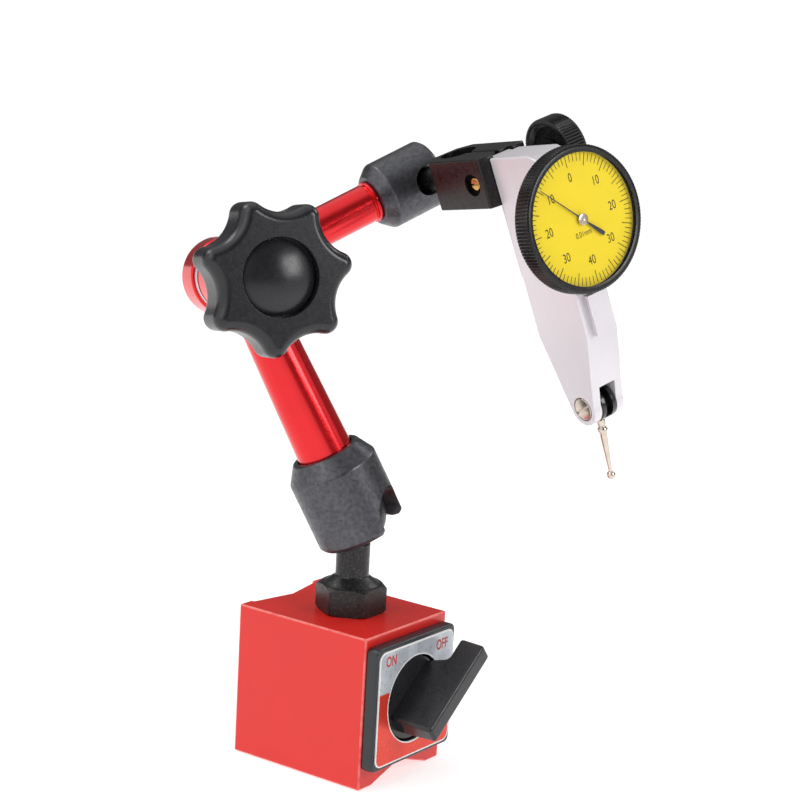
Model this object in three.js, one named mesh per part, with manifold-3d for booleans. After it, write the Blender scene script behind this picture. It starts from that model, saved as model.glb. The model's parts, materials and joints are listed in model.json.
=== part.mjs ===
// Small universal magnetic base: a switchable magnet block, two arms clamped by one knob, and a lever-type
// test indicator held in a dovetail clamp. Millimetres, +Z up, front towards -Y. Everything is drawn with the
// block centred on X = Y = 0, and ORIGIN_SHIFT then puts the origin under the middle of the whole object.
import * as THREE from "three";
import { mergeVertices } from "three/addons/utils/BufferGeometryUtils.js";
import Module from "manifold-3d";

const wasm = await Module();
wasm.setup();

// ---- Driving dimensions -------------------------------------------------------------------------------
const ORIGIN_SHIFT = [1.3, 9.1, 0];

const BLOCK = { width: 30, depth: 36, height: 35, edge: 0.6 };
const SEPARATOR_WIDTH = 3;
const FOOT_INNER = 10.3;
const BOTTOM_GROOVE = 3.4;
const REAR_SHOULDER = 11;
const REAR_STEP = 0.8;
const REAR_GROOVE = 3;
const SWITCH_HEIGHT = 18.8;
const MAGNET_BORE = { radius: 11, end: 12.5 };
const PLATE = { width: 29.3, height: 28.4, thick: 3, hole: 10, corner: 1.5 };
const LABEL = { inset: 0.9, thick: 0.3, corner: 2 };
const HANDLE = { angle: 38.5, back: -8.1, tip: 16.5, reach: 10.2, rootHalf: 2.9, edgeHalf: 2.2, hub: 9.6 };

const STUD = { y: -2, hexAcross: 14, hexHeight: 6.4, stemRadius: 3.8, pinRadius: 2.4 };
const LOWER_BALL_HEIGHT = 57;
const LOWER_BALL = 7;
const LOWER_CUP = {
  radius: 10.3, lip: -4.5, shoulder: 12.4, top: 16.5, mouth: 2.8, slot: 5.9, slotCentre: -1.7, slotTurn: 44,
};
const LOWER_TUBE = { cupRadius: 6.32, elbowRadius: 5.45, bore: 3 };
const SLIP = 0.3;

// Distances along the knob's axis run from the lower arm's plane, towards the knob.
const ELBOW = { lowerRadius: 8.3, upperRadius: 8.9, bore: 4.2, offset: 10.68 };
const LOWER_HEAD = { back: -5.5, front: 6 };
const UPPER_HEAD = { back: -14.9, front: -7.6 };
const ELBOW_WASHER = { back: -7.45, front: -5.65, radius: 8.4 };
const KNOB = { lobes: 7, tip: 17, valley: 13.7, tipRound: 2.7, back: 13.4, face: 24.6, hub: 8, phase: 10.3 };
const KNOB_CAP = { radius: 8.05, rim: 22.9, top: 24.8, groove: 2.7 };

const UPPER_TUBE = { radius: 4.55, end: 37.8, collar: 4.9, bore: 2.2 };
const UPPER_BALL = 5;
const UPPER_CUP = { radius: 7.9, start: 39.3, shoulder: 41.9, lip: 55.5, mouth: 2.1, slot: 3.4 };
const UPPER_BALL_AT = 51.22;

const CLAMP = { left: -38.2, right: -16.75, top: -16.35, bottom: -5.05, half: 6.8, bore: 4.1, boreAt: -32.7 };
const CLAMP_SCREW = { n: -21.7, s: -10.6 };
const CLAMP_KNOB = { start: 15.7, thick: 5.3, radius: 7.8 };

const BODY = { half: 4.4, back: -16.5, top: -15.65, bendBack: 25.25, bendFront: 25.65 };
const PIVOT = { n: -8.25, s: 42.3 };
const NOSE = 3.9;
const BEZEL = { outer: 15.9, front: 4.56, inner: 14.85, lip: 14.2 };
const DIAL = { radius: 14.5, front: 3.07 };
const STYLUS = { length: 17.75, lean: -7.1, tip: 1 };
const SECTOR = 36.9;
const LEVER_PINION = 1.28;
const CROWN = 4.35;
const POINTER_PINION = 0.9;
const POINTER = { height: 3.65, tip: 12.95, tail: 6.7, turn: 46.1 };
const COVER_SCREW = { head: 1.6, headThick: 0.6, shank: 0.8, hole: 1.1, depth: 1.6 };

// ---- Colours ------------------------------------------------------------------------------------------
const FINISH = {
  redPaint: [0xd93a34, 0.28, 0.0],
  redAnodised: [0xc8161f, 0.3, 0.6],
  blackPlastic: [0x232326, 0.5, 0.0],
  blackSteel: [0x3a3b3e, 0.45, 0.7],
  blackAnodised: [0x1d191a, 0.4, 0.4],
  brightSteel: [0xc9c9cc, 0.25, 1.0],
  satinAluminium: [0xcfccd2, 0.4, 0.8],
  brass: [0xc9a14a, 0.3, 1.0],
  iron: [0x6d6d70, 0.5, 0.9],
  magnet: [0x4c4c50, 0.55, 0.8],
  label: [0xb9bcc0, 0.35, 0.5],
  dialYellow: [0xf7dc2c, 0.6, 0.0],
  glass: [0xeef3f5, 0.05, 0.0],
};

// ---- Helpers ------------------------------------------------------------------------------------------
const rad = THREE.MathUtils.degToRad;

function solid(geometry) {
  const bare = new THREE.BufferGeometry().setAttribute("position", geometry.getAttribute("position"));
  bare.setIndex(geometry.index);
  const merged = mergeVertices(bare, 1e-4);
  const triVerts = new Uint32Array(merged.index.array);
  const vertProperties = new Float32Array(merged.attributes.position.array);
  const made = new wasm.Manifold(new wasm.Mesh({ numProp: 3, vertProperties, triVerts }));
  if (made.volume() > 0) return made;
  for (let i = 0; i < triVerts.length; i += 3) {
    [triVerts[i + 1], triVerts[i + 2]] = [triVerts[i + 2], triVerts[i + 1]];
  }
  return new wasm.Manifold(new wasm.Mesh({ numProp: 3, vertProperties, triVerts }));
}

function geometryOf(manifold) {
  const mesh = manifold.getMesh();
  const geometry = new THREE.BufferGeometry();
  geometry.setAttribute("position", new THREE.BufferAttribute(new Float32Array(mesh.vertProperties), 3));
  geometry.setIndex(new THREE.BufferAttribute(new Uint32Array(mesh.triVerts), 1));
  return geometry;
}

const join = (...pieces) => geometryOf(pieces.map(solid).reduce((a, b) => a.add(b)));
const cut = (piece, ...tools) => geometryOf(tools.map(solid).reduce((a, b) => a.subtract(b), solid(piece)));
const common = (a, b) => geometryOf(solid(a).intersect(solid(b)));

// Turned about local Z from a list of [radius, height].
function turned(profile, segments = 32) {
  const points = profile.map(([r, z]) => new THREE.Vector2(r, z));
  return new THREE.LatheGeometry(points, segments).rotateX(Math.PI / 2);
}

const rod = (radius, from, to, segments = 20) =>
  turned([[0, from], [radius, from], [radius, to], [0, to]], segments);

const ring = (inner, outer, from, to, segments = 32) =>
  turned([[inner, from], [outer, from], [outer, to], [inner, to], [inner, from]], segments);

const box = (x0, x1, y0, y1, z0, z1) =>
  new THREE.BoxGeometry(x1 - x0, y1 - y0, z1 - z0).translate((x0 + x1) / 2, (y0 + y1) / 2, (z0 + z1) / 2);

// Outline in local XY, drawn up along Z.
function prism(outline, from, to) {
  const shape = new THREE.Shape(outline.map(([x, y]) => new THREE.Vector2(x, y)));
  const geometry = new THREE.ExtrudeGeometry(shape, { depth: to - from, bevelEnabled: false });
  return geometry.translate(0, 0, from);
}

// Turns a prism drawn in (X, Z) so that its height runs along +Y.
const alongY = (geometry) => geometry.rotateX(Math.PI / 2).scale(1, -1, 1);
const prismY = (outline, from, to) => alongY(prism(outline, from, to));
const rodY = (radius, from, to, x, z, segments = 20) =>
  rod(radius, from, to, segments).rotateX(-Math.PI / 2).translate(x, 0, z);
// Rods along local X.
const rodX = (radius, from, to, y, z, segments = 20) =>
  rod(radius, from, to, segments).rotateY(Math.PI / 2).translate(0, y, z);

function roundedRectangle(width, height, corner, steps = 3) {
  const points = [];
  const corners = [[1, 1], [-1, 1], [-1, -1], [1, -1]];
  corners.forEach(([sx, sy], quarter) => {
    for (let i = 0; i <= steps; i++) {
      const angle = (quarter + i / steps) * (Math.PI / 2);
      points.push([
        sx * (width / 2 - corner) + corner * Math.cos(angle),
        sy * (height / 2 - corner) + corner * Math.sin(angle),
      ]);
    }
  });
  return points;
}

const part = new THREE.Group();
part.name = "dial_indicator_on_magnetic_base";

function add(name, geometry, finish, frame = new THREE.Matrix4()) {
  const [color, roughness, metalness] = FINISH[finish];
  const mesh = new THREE.Mesh(geometry, new THREE.MeshStandardMaterial({ color, roughness, metalness }));
  geometry.applyMatrix4(frame);
  geometry.translate(...ORIGIN_SHIFT);
  mesh.name = name;
  part.add(mesh);
}

// Frame from an origin, the direction of local Z and a direction near local X.
function frameOf(origin, z, x) {
  const zAxis = z.clone().normalize();
  const xAxis = x.clone().addScaledVector(zAxis, -x.dot(zAxis)).normalize();
  const yAxis = zAxis.clone().cross(xAxis);
  return new THREE.Matrix4().makeBasis(xAxis, yAxis, zAxis).setPosition(origin);
}

// ---- How the arms stand -------------------------------------------------------------------------------
const ARM_HEADING = rad(-30);
const KNOB_RISE = rad(8.81);
const LOWER_LEAN = rad(25.96);
const UPPER_RISE = rad(25.08);
const LOWER_LENGTH = 59.92;

const across = new THREE.Vector3(Math.cos(ARM_HEADING), Math.sin(ARM_HEADING), 0);
const knobAxis = new THREE.Vector3(
  Math.sin(ARM_HEADING) * Math.cos(KNOB_RISE),
  -Math.cos(ARM_HEADING) * Math.cos(KNOB_RISE),
  Math.sin(KNOB_RISE),
);
const upright = knobAxis.clone().cross(across);
const mix = (a, b, angle) =>
  a.clone().multiplyScalar(Math.cos(angle)).addScaledVector(b, Math.sin(angle));
const lowerAxis = mix(upright, across, -LOWER_LEAN);
const upperAxis = mix(across, upright, UPPER_RISE);
const lowerCentre = new THREE.Vector3(0, STUD.y, LOWER_BALL_HEIGHT);
const elbowCentre = lowerCentre.clone().addScaledVector(lowerAxis, LOWER_LENGTH);
const upperRoot = elbowCentre.clone().addScaledVector(knobAxis, -ELBOW.offset);
const upperCentre = upperRoot.clone().addScaledVector(upperAxis, UPPER_BALL_AT);

// The indicator's frame: X out of the dial, Y down the body towards the stylus, Z to its far side.
const dialAxis = new THREE.Vector3(-0.30659, -0.93938, 0.15349).normalize();
const bodyDown = new THREE.Vector3(0.23927, -0.23214, -0.94279);
bodyDown.addScaledVector(dialAxis, -bodyDown.dot(dialAxis)).normalize();
const bodySide = dialAxis.clone().cross(bodyDown);
const BALL_FROM_DIAL = { n: -51.69, s: -10.85 };
const dialCentre = upperCentre
  .clone()
  .addScaledVector(dialAxis, -BALL_FROM_DIAL.n)
  .addScaledVector(bodyDown, -BALL_FROM_DIAL.s);

const lowerFrame = frameOf(lowerCentre, lowerAxis, knobAxis);
const knobFrame = frameOf(elbowCentre, knobAxis, across);
const upperFrame = frameOf(upperRoot, upperAxis, knobAxis);
const neckFrame = frameOf(upperCentre, dialAxis, bodyDown);
const indicatorFrame = new THREE.Matrix4().makeBasis(dialAxis, bodyDown, bodySide).setPosition(dialCentre);

// ---- Magnet block -------------------------------------------------------------------------------------
const halfW = BLOCK.width / 2;
const halfD = BLOCK.depth / 2;
const edge = BLOCK.edge;
const blockSection = [
  [-halfW + edge, 0], [-FOOT_INNER, 0], [0, BOTTOM_GROOVE], [FOOT_INNER, 0], [halfW - edge, 0],
  [halfW, edge], [halfW, BLOCK.height - edge], [halfW - edge, BLOCK.height],
  [-halfW + edge, BLOCK.height], [-halfW, BLOCK.height - edge], [-halfW, edge],
];
const rearGroove = prism([
  [-REAR_SHOULDER, halfD + 1], [-REAR_SHOULDER, halfD - REAR_STEP], [0, halfD - REAR_GROOVE],
  [REAR_SHOULDER, halfD - REAR_STEP], [REAR_SHOULDER, halfD + 1],
], -1, BLOCK.height + 1);
const plateCentre = 4.6 + PLATE.height / 2;
const plateScrews = [["left", -11.6, plateCentre - 10.6], ["right", 11.6, plateCentre + 10.6]];
const block = cut(
  prismY(blockSection, -halfD, halfD),
  rearGroove,
  rodY(MAGNET_BORE.radius, -halfD - 1, MAGNET_BORE.end, 0, SWITCH_HEIGHT, 40),
  rod(STUD.stemRadius + SLIP, 30.6, BLOCK.height + 1, 24).translate(0, STUD.y, 0),
  ...plateScrews.map(([, x, z]) => rodY(1.3, -halfD - 1, -halfD + 5.3, x, z, 12)),
);
const inner = SEPARATOR_WIDTH / 2;
add("pole_left", common(block, box(-40, -inner, -40, 40, -1, 60)), "redPaint");
add("pole_right", common(block, box(inner, 40, -40, 40, -1, 60)), "redPaint");
add("pole_separator", common(block, box(-inner, inner, -40, 40, -1, 60)), "redPaint");

// ---- Magnet switch ------------------------------------------------------------------------------------
// Switch frame: X along the handle, Z out of the front face, origin on the plate's face.
const plateFace = -halfD - PLATE.thick;
const pointing = new THREE.Vector3(Math.cos(rad(HANDLE.angle)), 0, Math.sin(rad(HANDLE.angle)));
const switchFrame = frameOf(
  new THREE.Vector3(0, plateFace, SWITCH_HEIGHT),
  new THREE.Vector3(0, -1, 0),
  pointing,
);
const outline = roundedRectangle(PLATE.width, PLATE.height, PLATE.corner);
add(
  "switch_plate",
  cut(
    prismY(outline.map(([x, z]) => [x, z + plateCentre]), plateFace, -halfD),
    rodY(PLATE.hole, plateFace - 1, -halfD + 1, 0, SWITCH_HEIGHT, 40),
    ...plateScrews.map(([, x, z]) => rodY(2.5, plateFace - 1, plateFace + 1.7, x, z, 16)),
    ...plateScrews.map(([, x, z]) => rodY(1.4, plateFace - 1, -halfD + 1, x, z, 12)),
  ),
  "blackPlastic",
);
const labelOutline = roundedRectangle(
  PLATE.width - 2 * LABEL.inset,
  PLATE.height - 2 * LABEL.inset,
  LABEL.corner,
);
add(
  "switch_label",
  cut(
    prismY(labelOutline.map(([x, z]) => [x, z + plateCentre]), plateFace - LABEL.thick, plateFace),
    rodY(PLATE.hole, plateFace - 1, plateFace + 1, 0, SWITCH_HEIGHT, 40),
  ),
  "label",
);
for (const [side, x, z] of plateScrews) {
  const head = rodY(2.2, plateFace + 0.1, plateFace + 1.5, x, z, 16);
  add("plate_screw_" + side, join(head, rodY(1.1, plateFace + 1, -halfD + 5, x, z, 12)), "brightSteel");
}
const { back: handleBack, tip: handleTip, reach } = HANDLE;
const barSection = [
  [-HANDLE.rootHalf, -1], [HANDLE.rootHalf, -1], [HANDLE.edgeHalf, reach - 0.9],
  [HANDLE.edgeHalf - 0.8, reach], [-HANDLE.edgeHalf + 0.8, reach], [-HANDLE.edgeHalf, reach - 0.9],
];
const bar = prism(barSection, handleBack, handleTip).applyMatrix4(
  new THREE.Matrix4().makeBasis(
    new THREE.Vector3(0, 1, 0),
    new THREE.Vector3(0, 0, 1),
    new THREE.Vector3(1, 0, 0),
  ),
);
const underCut = prismY([[7.6, -3], [10.6, 4], [20, 4], [20, -3]], -10, 10);
add(
  "switch_handle",
  cut(
    join(rod(HANDLE.hub, -2.6, -0.4, 36), bar),
    underCut,
    rod(4.1, -3, -1.4, 24),
  ),
  "blackPlastic",
  switchFrame,
);
const rotorFront = -4.2;
const rotorBack = -(halfD + PLATE.thick + MAGNET_BORE.end) + 0.8;
add(
  "rotor_carrier",
  cut(
    rod(10.4, rotorBack, rotorFront, 36),
    box(-4.9, 4.9, -12, 12, rotorBack + 4, rotorFront - 4.8),
    rod(4.1, rotorFront - 3.4, rotorFront + 1, 24),
  ),
  "satinAluminium",
  switchFrame,
);
add("rotor_magnet", box(-4.6, 4.6, -9, 9, rotorBack + 4.3, rotorFront - 5.1), "magnet", switchFrame);
add("handle_spindle", rod(3.8, rotorFront - 3.1, -1.7, 24), "brightSteel", switchFrame);

// ---- Ball stud ----------------------------------------------------------------------------------------
const hexTop = BLOCK.height + STUD.hexHeight;
const hexCorner = STUD.hexAcross / Math.sqrt(3);
const hexagon = new THREE.CylinderGeometry(hexCorner, hexCorner, STUD.hexHeight, 6)
  .rotateX(Math.PI / 2)
  .rotateZ(rad(30))
  .translate(0, 0, BLOCK.height + STUD.hexHeight / 2);
const hexChamfer = turned([
  [0, BLOCK.height], [7.4, BLOCK.height], [hexCorner + 0.2, BLOCK.height + 0.6],
  [hexCorner + 0.2, hexTop - 0.9], [6.9, hexTop], [0, hexTop],
], 36);
const stemTop = LOWER_BALL_HEIGHT - 6.1;
add(
  "ball_stud",
  join(
    common(hexagon, hexChamfer),
    turned([
      [0, 30.9], [STUD.stemRadius - 0.1, 30.9], [STUD.stemRadius - 0.1, hexTop], [6.4, hexTop],
      [STUD.stemRadius, hexTop + 1.9], [STUD.stemRadius, stemTop], [STUD.pinRadius, stemTop],
      [STUD.pinRadius, LOWER_BALL_HEIGHT + 3.5], [0, LOWER_BALL_HEIGHT + 3.5],
    ], 28),
  ).translate(0, STUD.y, 0),
  "blackSteel",
);

// Ball with a flat on its underside and a blind bore for the pin it turns on.
function boredBall(radius, pinBore, flat, boreEnd) {
  const sphere = new THREE.SphereGeometry(radius, 22, 14).rotateX(Math.PI / 2);
  return cut(
    sphere,
    box(-radius, radius, -radius, radius, -2 * radius, flat),
    rod(pinBore, -2 * radius, boreEnd, 20),
  );
}
add("lower_ball", boredBall(LOWER_BALL, STUD.pinRadius + SLIP, -5.8, 3.9), "blackSteel",
  new THREE.Matrix4().makeTranslation(lowerCentre.x, lowerCentre.y, lowerCentre.z));

// Cup that closes round a ball. Heights run from the ball's centre; the mouth is at the negative end.
function cupProfile(cup, ball, mouthHeight, lip, outside) {
  const socket = ball + SLIP;
  const points = [];
  const steps = 3;
  const start = Math.asin(mouthHeight / socket);
  points.push([Math.sqrt(socket ** 2 - mouthHeight ** 2) + 1.2, lip]);
  for (let i = 0; i <= steps; i++) {
    const angle = start * (1 - i / steps);
    points.push([socket * Math.cos(angle), -socket * Math.sin(angle)]);
  }
  return [...points, ...outside, [cup.radius, lip + 1], [cup.radius - 0.9, lip], points[0]];
}

// Slot with a round end, cut outwards from the ball's axis along local X turned by an angle.
function sideSlot(half, lip, length, centre, angle) {
  const slot = join(
    box(0, length, -half, half, lip - 2, centre),
    rodX(half, 0, length, 0, centre, 24),
  );
  return slot.rotateZ(angle);
}

// A pad that presses on the ball from inside the cup.
function pressurePad(ball, radius, top) {
  const socket = ball + SLIP;
  const points = [[0, socket]];
  for (const angle of [20, 35, 48]) {
    points.push([socket * Math.sin(rad(angle)), socket * Math.cos(rad(angle))]);
  }
  return turned([...points, [radius, socket * 0.72], [radius, top - 0.6], [radius - 0.6, top], [0, top]], 28);
}

// ---- Lower arm ----------------------------------------------------------------------------------------
const cupTop = LOWER_CUP.top;
add("lower_pressure_pad", pressurePad(LOWER_BALL, LOWER_BALL - 0.1, 9), "brightSteel", lowerFrame.clone());
add(
  "lower_cup",
  cut(
    turned(cupProfile(LOWER_CUP, LOWER_BALL, LOWER_CUP.mouth, LOWER_CUP.lip, [
      [LOWER_BALL + SLIP, 9.3], [LOWER_TUBE.cupRadius + SLIP, 9.3], [LOWER_TUBE.cupRadius + SLIP, cupTop],
      [7.75, cupTop], [LOWER_CUP.radius, LOWER_CUP.shoulder],
    ]), 34),
    sideSlot(LOWER_CUP.slot, LOWER_CUP.lip, 14, LOWER_CUP.slotCentre, rad(LOWER_CUP.slotTurn)),
  ),
  "blackSteel",
  lowerFrame.clone(),
);

const tubeStart = 9.6;
const tubeEnd = LOWER_LENGTH - 5;
const lowerTube = turned([
  [0, tubeStart], [LOWER_TUBE.cupRadius, tubeStart], [LOWER_TUBE.cupRadius, cupTop],
  [LOWER_TUBE.elbowRadius, 48], [LOWER_TUBE.elbowRadius, tubeEnd], [0, tubeEnd],
], 28);

// Head of an arm: a short barrel round the knob's axis, given in the frame of its arm.
function armHead(radius, back, front, armFrame) {
  const barrel = turned([
    [0, back], [radius - 0.7, back], [radius, back + 0.7], [radius, front - 0.5], [radius - 0.5, front],
    [0, front],
  ], 36);
  return barrel.applyMatrix4(armFrame.clone().invert().multiply(knobFrame));
}
const headBore = (armFrame) =>
  rod(ELBOW.bore, -20, 20, 24).applyMatrix4(armFrame.clone().invert().multiply(knobFrame));
const rodStop = 3.7;
add(
  "lower_arm",
  cut(
    join(lowerTube, armHead(ELBOW.lowerRadius, LOWER_HEAD.back, LOWER_HEAD.front, lowerFrame)),
    headBore(lowerFrame),
    rod(LOWER_TUBE.bore, 0, LOWER_LENGTH, 20),
  ),
  "redAnodised",
  lowerFrame.clone(),
);
add("lower_push_rod", rod(LOWER_TUBE.bore - 0.6, 9.3, LOWER_LENGTH - rodStop, 16), "brightSteel",
  lowerFrame.clone());

// ---- Elbow clamp --------------------------------------------------------------------------------------
add("elbow_washer", ring(ELBOW.bore + 0.1, ELBOW_WASHER.radius, ELBOW_WASHER.back, ELBOW_WASHER.front, 36),
  "brightSteel", knobFrame.clone());
add(
  "draw_bolt",
  turned([
    [0, -14.7], [3.9, -14.7], [3.9, -13.6], [1.9, -13.6], [1.9, 6.2], [2.9, 6.6], [2.9, 21], [2.4, 21.6],
    [0, 21.6],
  ], 24),
  "brightSteel",
  knobFrame.clone(),
);
// One cone on the bolt in each arm's head; drawn towards the knob, it drives that arm's push rod outwards.
for (const [name, from, to] of [["lower_cone", -3.4, 3.4], ["upper_cone", -13.3, -7.4]]) {
  add(name, turned([[2.2, from], [3.3, from], [2.9, to], [2.2, to], [2.2, from]], 20), "brightSteel",
    knobFrame.clone());
}
add("knob_washer", ring(3.2, 7.2, 6.1, 6.6, 28), "brightSteel", knobFrame.clone());

// Lobes with round tips, joined by round scallops that touch them.
function lobedOutline(steps = 5) {
  const points = [];
  const half = Math.PI / KNOB.lobes;
  const tipCentre = KNOB.tip - KNOB.tipRound;
  const flat = 2 * tipCentre * Math.cos(half);
  const scallop = (tipCentre ** 2 + KNOB.valley ** 2 - flat * KNOB.valley - KNOB.tipRound ** 2)
    / (2 * KNOB.tipRound + flat - 2 * KNOB.valley);
  const valleyCentre = KNOB.valley + scallop;
  const reachAcross = valleyCentre * Math.sin(half);
  const sweep = Math.atan2(reachAcross, valleyCentre * Math.cos(half) - tipCentre);
  for (let lobe = 0; lobe < KNOB.lobes; lobe++) {
    const turn = 2 * half * lobe + rad(KNOB.phase);
    for (let i = 0; i < steps; i++) {
      const angle = turn - sweep + (2 * sweep * i) / steps;
      points.push(new THREE.Vector2(
        tipCentre * Math.cos(turn) + KNOB.tipRound * Math.cos(angle),
        tipCentre * Math.sin(turn) + KNOB.tipRound * Math.sin(angle),
      ));
    }
    const valleyTurn = turn + half;
    const valleySweep = sweep - half;
    for (let i = 0; i < steps; i++) {
      const angle = valleyTurn + Math.PI + valleySweep - (2 * valleySweep * i) / steps;
      points.push(new THREE.Vector2(
        valleyCentre * Math.cos(valleyTurn) + scallop * Math.cos(angle),
        valleyCentre * Math.sin(valleyTurn) + scallop * Math.sin(angle),
      ));
    }
  }
  return points;
}
const knobBevel = 3;
const lobes = new THREE.ExtrudeGeometry(new THREE.Shape(lobedOutline()), {
  depth: KNOB.face - KNOB.back - 2 * knobBevel,
  bevelThickness: knobBevel,
  bevelSize: 2.2,
  bevelOffset: -2.2,
  bevelSegments: 3,
}).translate(0, 0, KNOB.back + knobBevel);
add(
  "clamping_knob",
  cut(
    join(lobes, rod(KNOB.hub, 6.9, KNOB.back + 3, 28)),
    rod(KNOB_CAP.radius + 0.45, KNOB.face - KNOB_CAP.groove, KNOB.face + 1, 36),
    rod(5, 6, KNOB.face, 24),
  ),
  "blackPlastic",
  knobFrame.clone(),
);
add("knob_insert", ring(3.2, 4.7, 7, 22, 24), "brass", knobFrame.clone());
add(
  "knob_cap",
  turned([
    [0, 22.1], [KNOB_CAP.radius, 22.1], [KNOB_CAP.radius, KNOB_CAP.rim - 0.25],
    [KNOB_CAP.radius - 0.35, KNOB_CAP.rim + 0.1], [6, KNOB_CAP.top - 1.05], [4, KNOB_CAP.top - 0.46],
    [2, KNOB_CAP.top - 0.12], [0, KNOB_CAP.top],
  ], 36),
  "blackPlastic",
  knobFrame.clone(),
);

// ---- Upper arm ----------------------------------------------------------------------------------------
const upperTube = turned([
  [0, 5], [UPPER_TUBE.radius, 5], [UPPER_TUBE.radius, UPPER_TUBE.end],
  [UPPER_TUBE.radius - 0.3, UPPER_TUBE.end + 0.1], [UPPER_TUBE.radius - 0.3, UPPER_TUBE.end + 0.4],
  [UPPER_TUBE.collar, UPPER_TUBE.end + 0.5], [UPPER_TUBE.collar, UPPER_CUP.start - 0.2],
  [4.2, UPPER_CUP.start - 0.1], [4.2, UPPER_CUP.start + 4.6], [0, UPPER_CUP.start + 4.6],
], 28);
const washerSeat = rod(ELBOW_WASHER.radius + SLIP, UPPER_HEAD.front, 0, 36)
  .applyMatrix4(upperFrame.clone().invert().multiply(knobFrame));
add(
  "upper_arm",
  cut(
    join(upperTube, armHead(ELBOW.upperRadius, UPPER_HEAD.back, UPPER_HEAD.front, upperFrame)),
    washerSeat,
    headBore(upperFrame),
    rod(UPPER_TUBE.bore, 0, UPPER_CUP.start + 6, 16),
  ),
  "redAnodised",
  upperFrame.clone(),
);
add("upper_push_rod", rod(UPPER_TUBE.bore - 0.4, rodStop, UPPER_BALL_AT - 6.5, 14), "brightSteel",
  upperFrame.clone());

// Frame of the upper ball joint: Z back along the arm, X towards the side slot.
const slotFrame = frameOf(upperCentre, upperAxis.clone().negate(), dialAxis);
add("upper_pressure_pad", pressurePad(UPPER_BALL, UPPER_BALL - 0.1, 6.2), "brightSteel", slotFrame.clone());
const fromBall = (s) => UPPER_BALL_AT - s;
add(
  "upper_cup",
  cut(
    turned(cupProfile(UPPER_CUP, UPPER_BALL, UPPER_CUP.mouth, fromBall(UPPER_CUP.lip), [
      [UPPER_BALL + SLIP, 6.5], [4.5, 6.5], [4.5, fromBall(UPPER_CUP.start)],
      [5.8, fromBall(UPPER_CUP.start)], [UPPER_CUP.radius, fromBall(UPPER_CUP.shoulder)],
    ]), 32),
    sideSlot(UPPER_CUP.slot, fromBall(UPPER_CUP.lip), 12, 0, 0),
  ),
  "blackSteel",
  slotFrame.clone(),
);

// ---- Indicator clamp ----------------------------------------------------------------------------------
const ballToClamp = CLAMP.left - BALL_FROM_DIAL.n;
add(
  "clamp_ball",
  boredBall(UPPER_BALL, 2, -4.2, 1.2).rotateX(Math.PI),
  "blackSteel",
  neckFrame.clone(),
);
add(
  "clamp_stud",
  turned([
    [0, -0.8], [1.7, -0.8], [1.7, 4.5], [2.8, 4.5], [2.8, ballToClamp - 0.2], [2.3, ballToClamp - 0.2],
    [2.3, ballToClamp + 0.9], [0, ballToClamp + 0.9],
  ], 24),
  "blackAnodised",
  neckFrame.clone(),
);
const chamferAt = CLAMP.left + 2.8;
const jawHalf = CLAMP.half;
const jawOutline = [
  [CLAMP.left, -3.8], [chamferAt, -jawHalf], [-17.6, -jawHalf], [CLAMP.right, -4.65], [CLAMP.right, -2.85],
  [-18.85, -3.6], [-18.85, -0.5], [CLAMP.boreAt + CLAMP.bore - 0.5, -0.5],
  [CLAMP.boreAt + CLAMP.bore - 0.5, 0.5], [-18.85, 0.5], [-18.85, 3.6], [CLAMP.right, 2.85],
  [CLAMP.right, 4.65], [-17.6, jawHalf], [chamferAt, jawHalf], [CLAMP.left, 3.8],
];
// Prism drawn in (n, c) and drawn out along s, in the indicator's frame.
const alongS = (points, from, to) => prismY(points, from, to);
const rodS = (radius, from, to, n, c, segments = 20) =>
  rod(radius, from, to, segments).rotateX(-Math.PI / 2).translate(n, 0, c);
add(
  "clamp_block",
  cut(
    alongS(jawOutline, CLAMP.top, CLAMP.bottom),
    rodS(CLAMP.bore, CLAMP.top - 1, CLAMP.bottom + 1, CLAMP.boreAt, 0, 32),
    rod(1.9, -jawHalf - 1, jawHalf + 1, 16).translate(CLAMP_SCREW.n, CLAMP_SCREW.s, 0),
    rod(2.5, -jawHalf - 1, -jawHalf + 1.6, 20).translate(CLAMP_SCREW.n, CLAMP_SCREW.s, 0),
    rodX(2.6, CLAMP.left - 1, CLAMP.left + 1.2, BALL_FROM_DIAL.s, 0, 20),
  ),
  "blackAnodised",
  indicatorFrame.clone(),
);
add(
  "clamp_screw",
  turned([
    [0, -6.1], [1.5, -6.1], [1.5, jawHalf + 0.3], [2.9, jawHalf + 0.3], [2.9, CLAMP_KNOB.start + 0.8],
    [2, CLAMP_KNOB.start + 0.8], [2, CLAMP_KNOB.start + 4], [0, CLAMP_KNOB.start + 4],
  ], 20).translate(CLAMP_SCREW.n, CLAMP_SCREW.s, 0),
  "brass",
  indicatorFrame.clone(),
);
const knobEnd = CLAMP_KNOB.start + CLAMP_KNOB.thick;
add(
  "clamp_knob",
  turned([
    [2.3, CLAMP_KNOB.start + 1.2], [5.8, CLAMP_KNOB.start + 1.2], [6.4, CLAMP_KNOB.start],
    [7.2, CLAMP_KNOB.start], [CLAMP_KNOB.radius, CLAMP_KNOB.start + 0.4],
    [CLAMP_KNOB.radius, knobEnd - 0.6], [7, knobEnd], [2.3, knobEnd], [2.3, CLAMP_KNOB.start + 1.2],
  ], 36).translate(CLAMP_SCREW.n, CLAMP_SCREW.s, 0),
  "blackAnodised",
  indicatorFrame.clone(),
);

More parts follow.
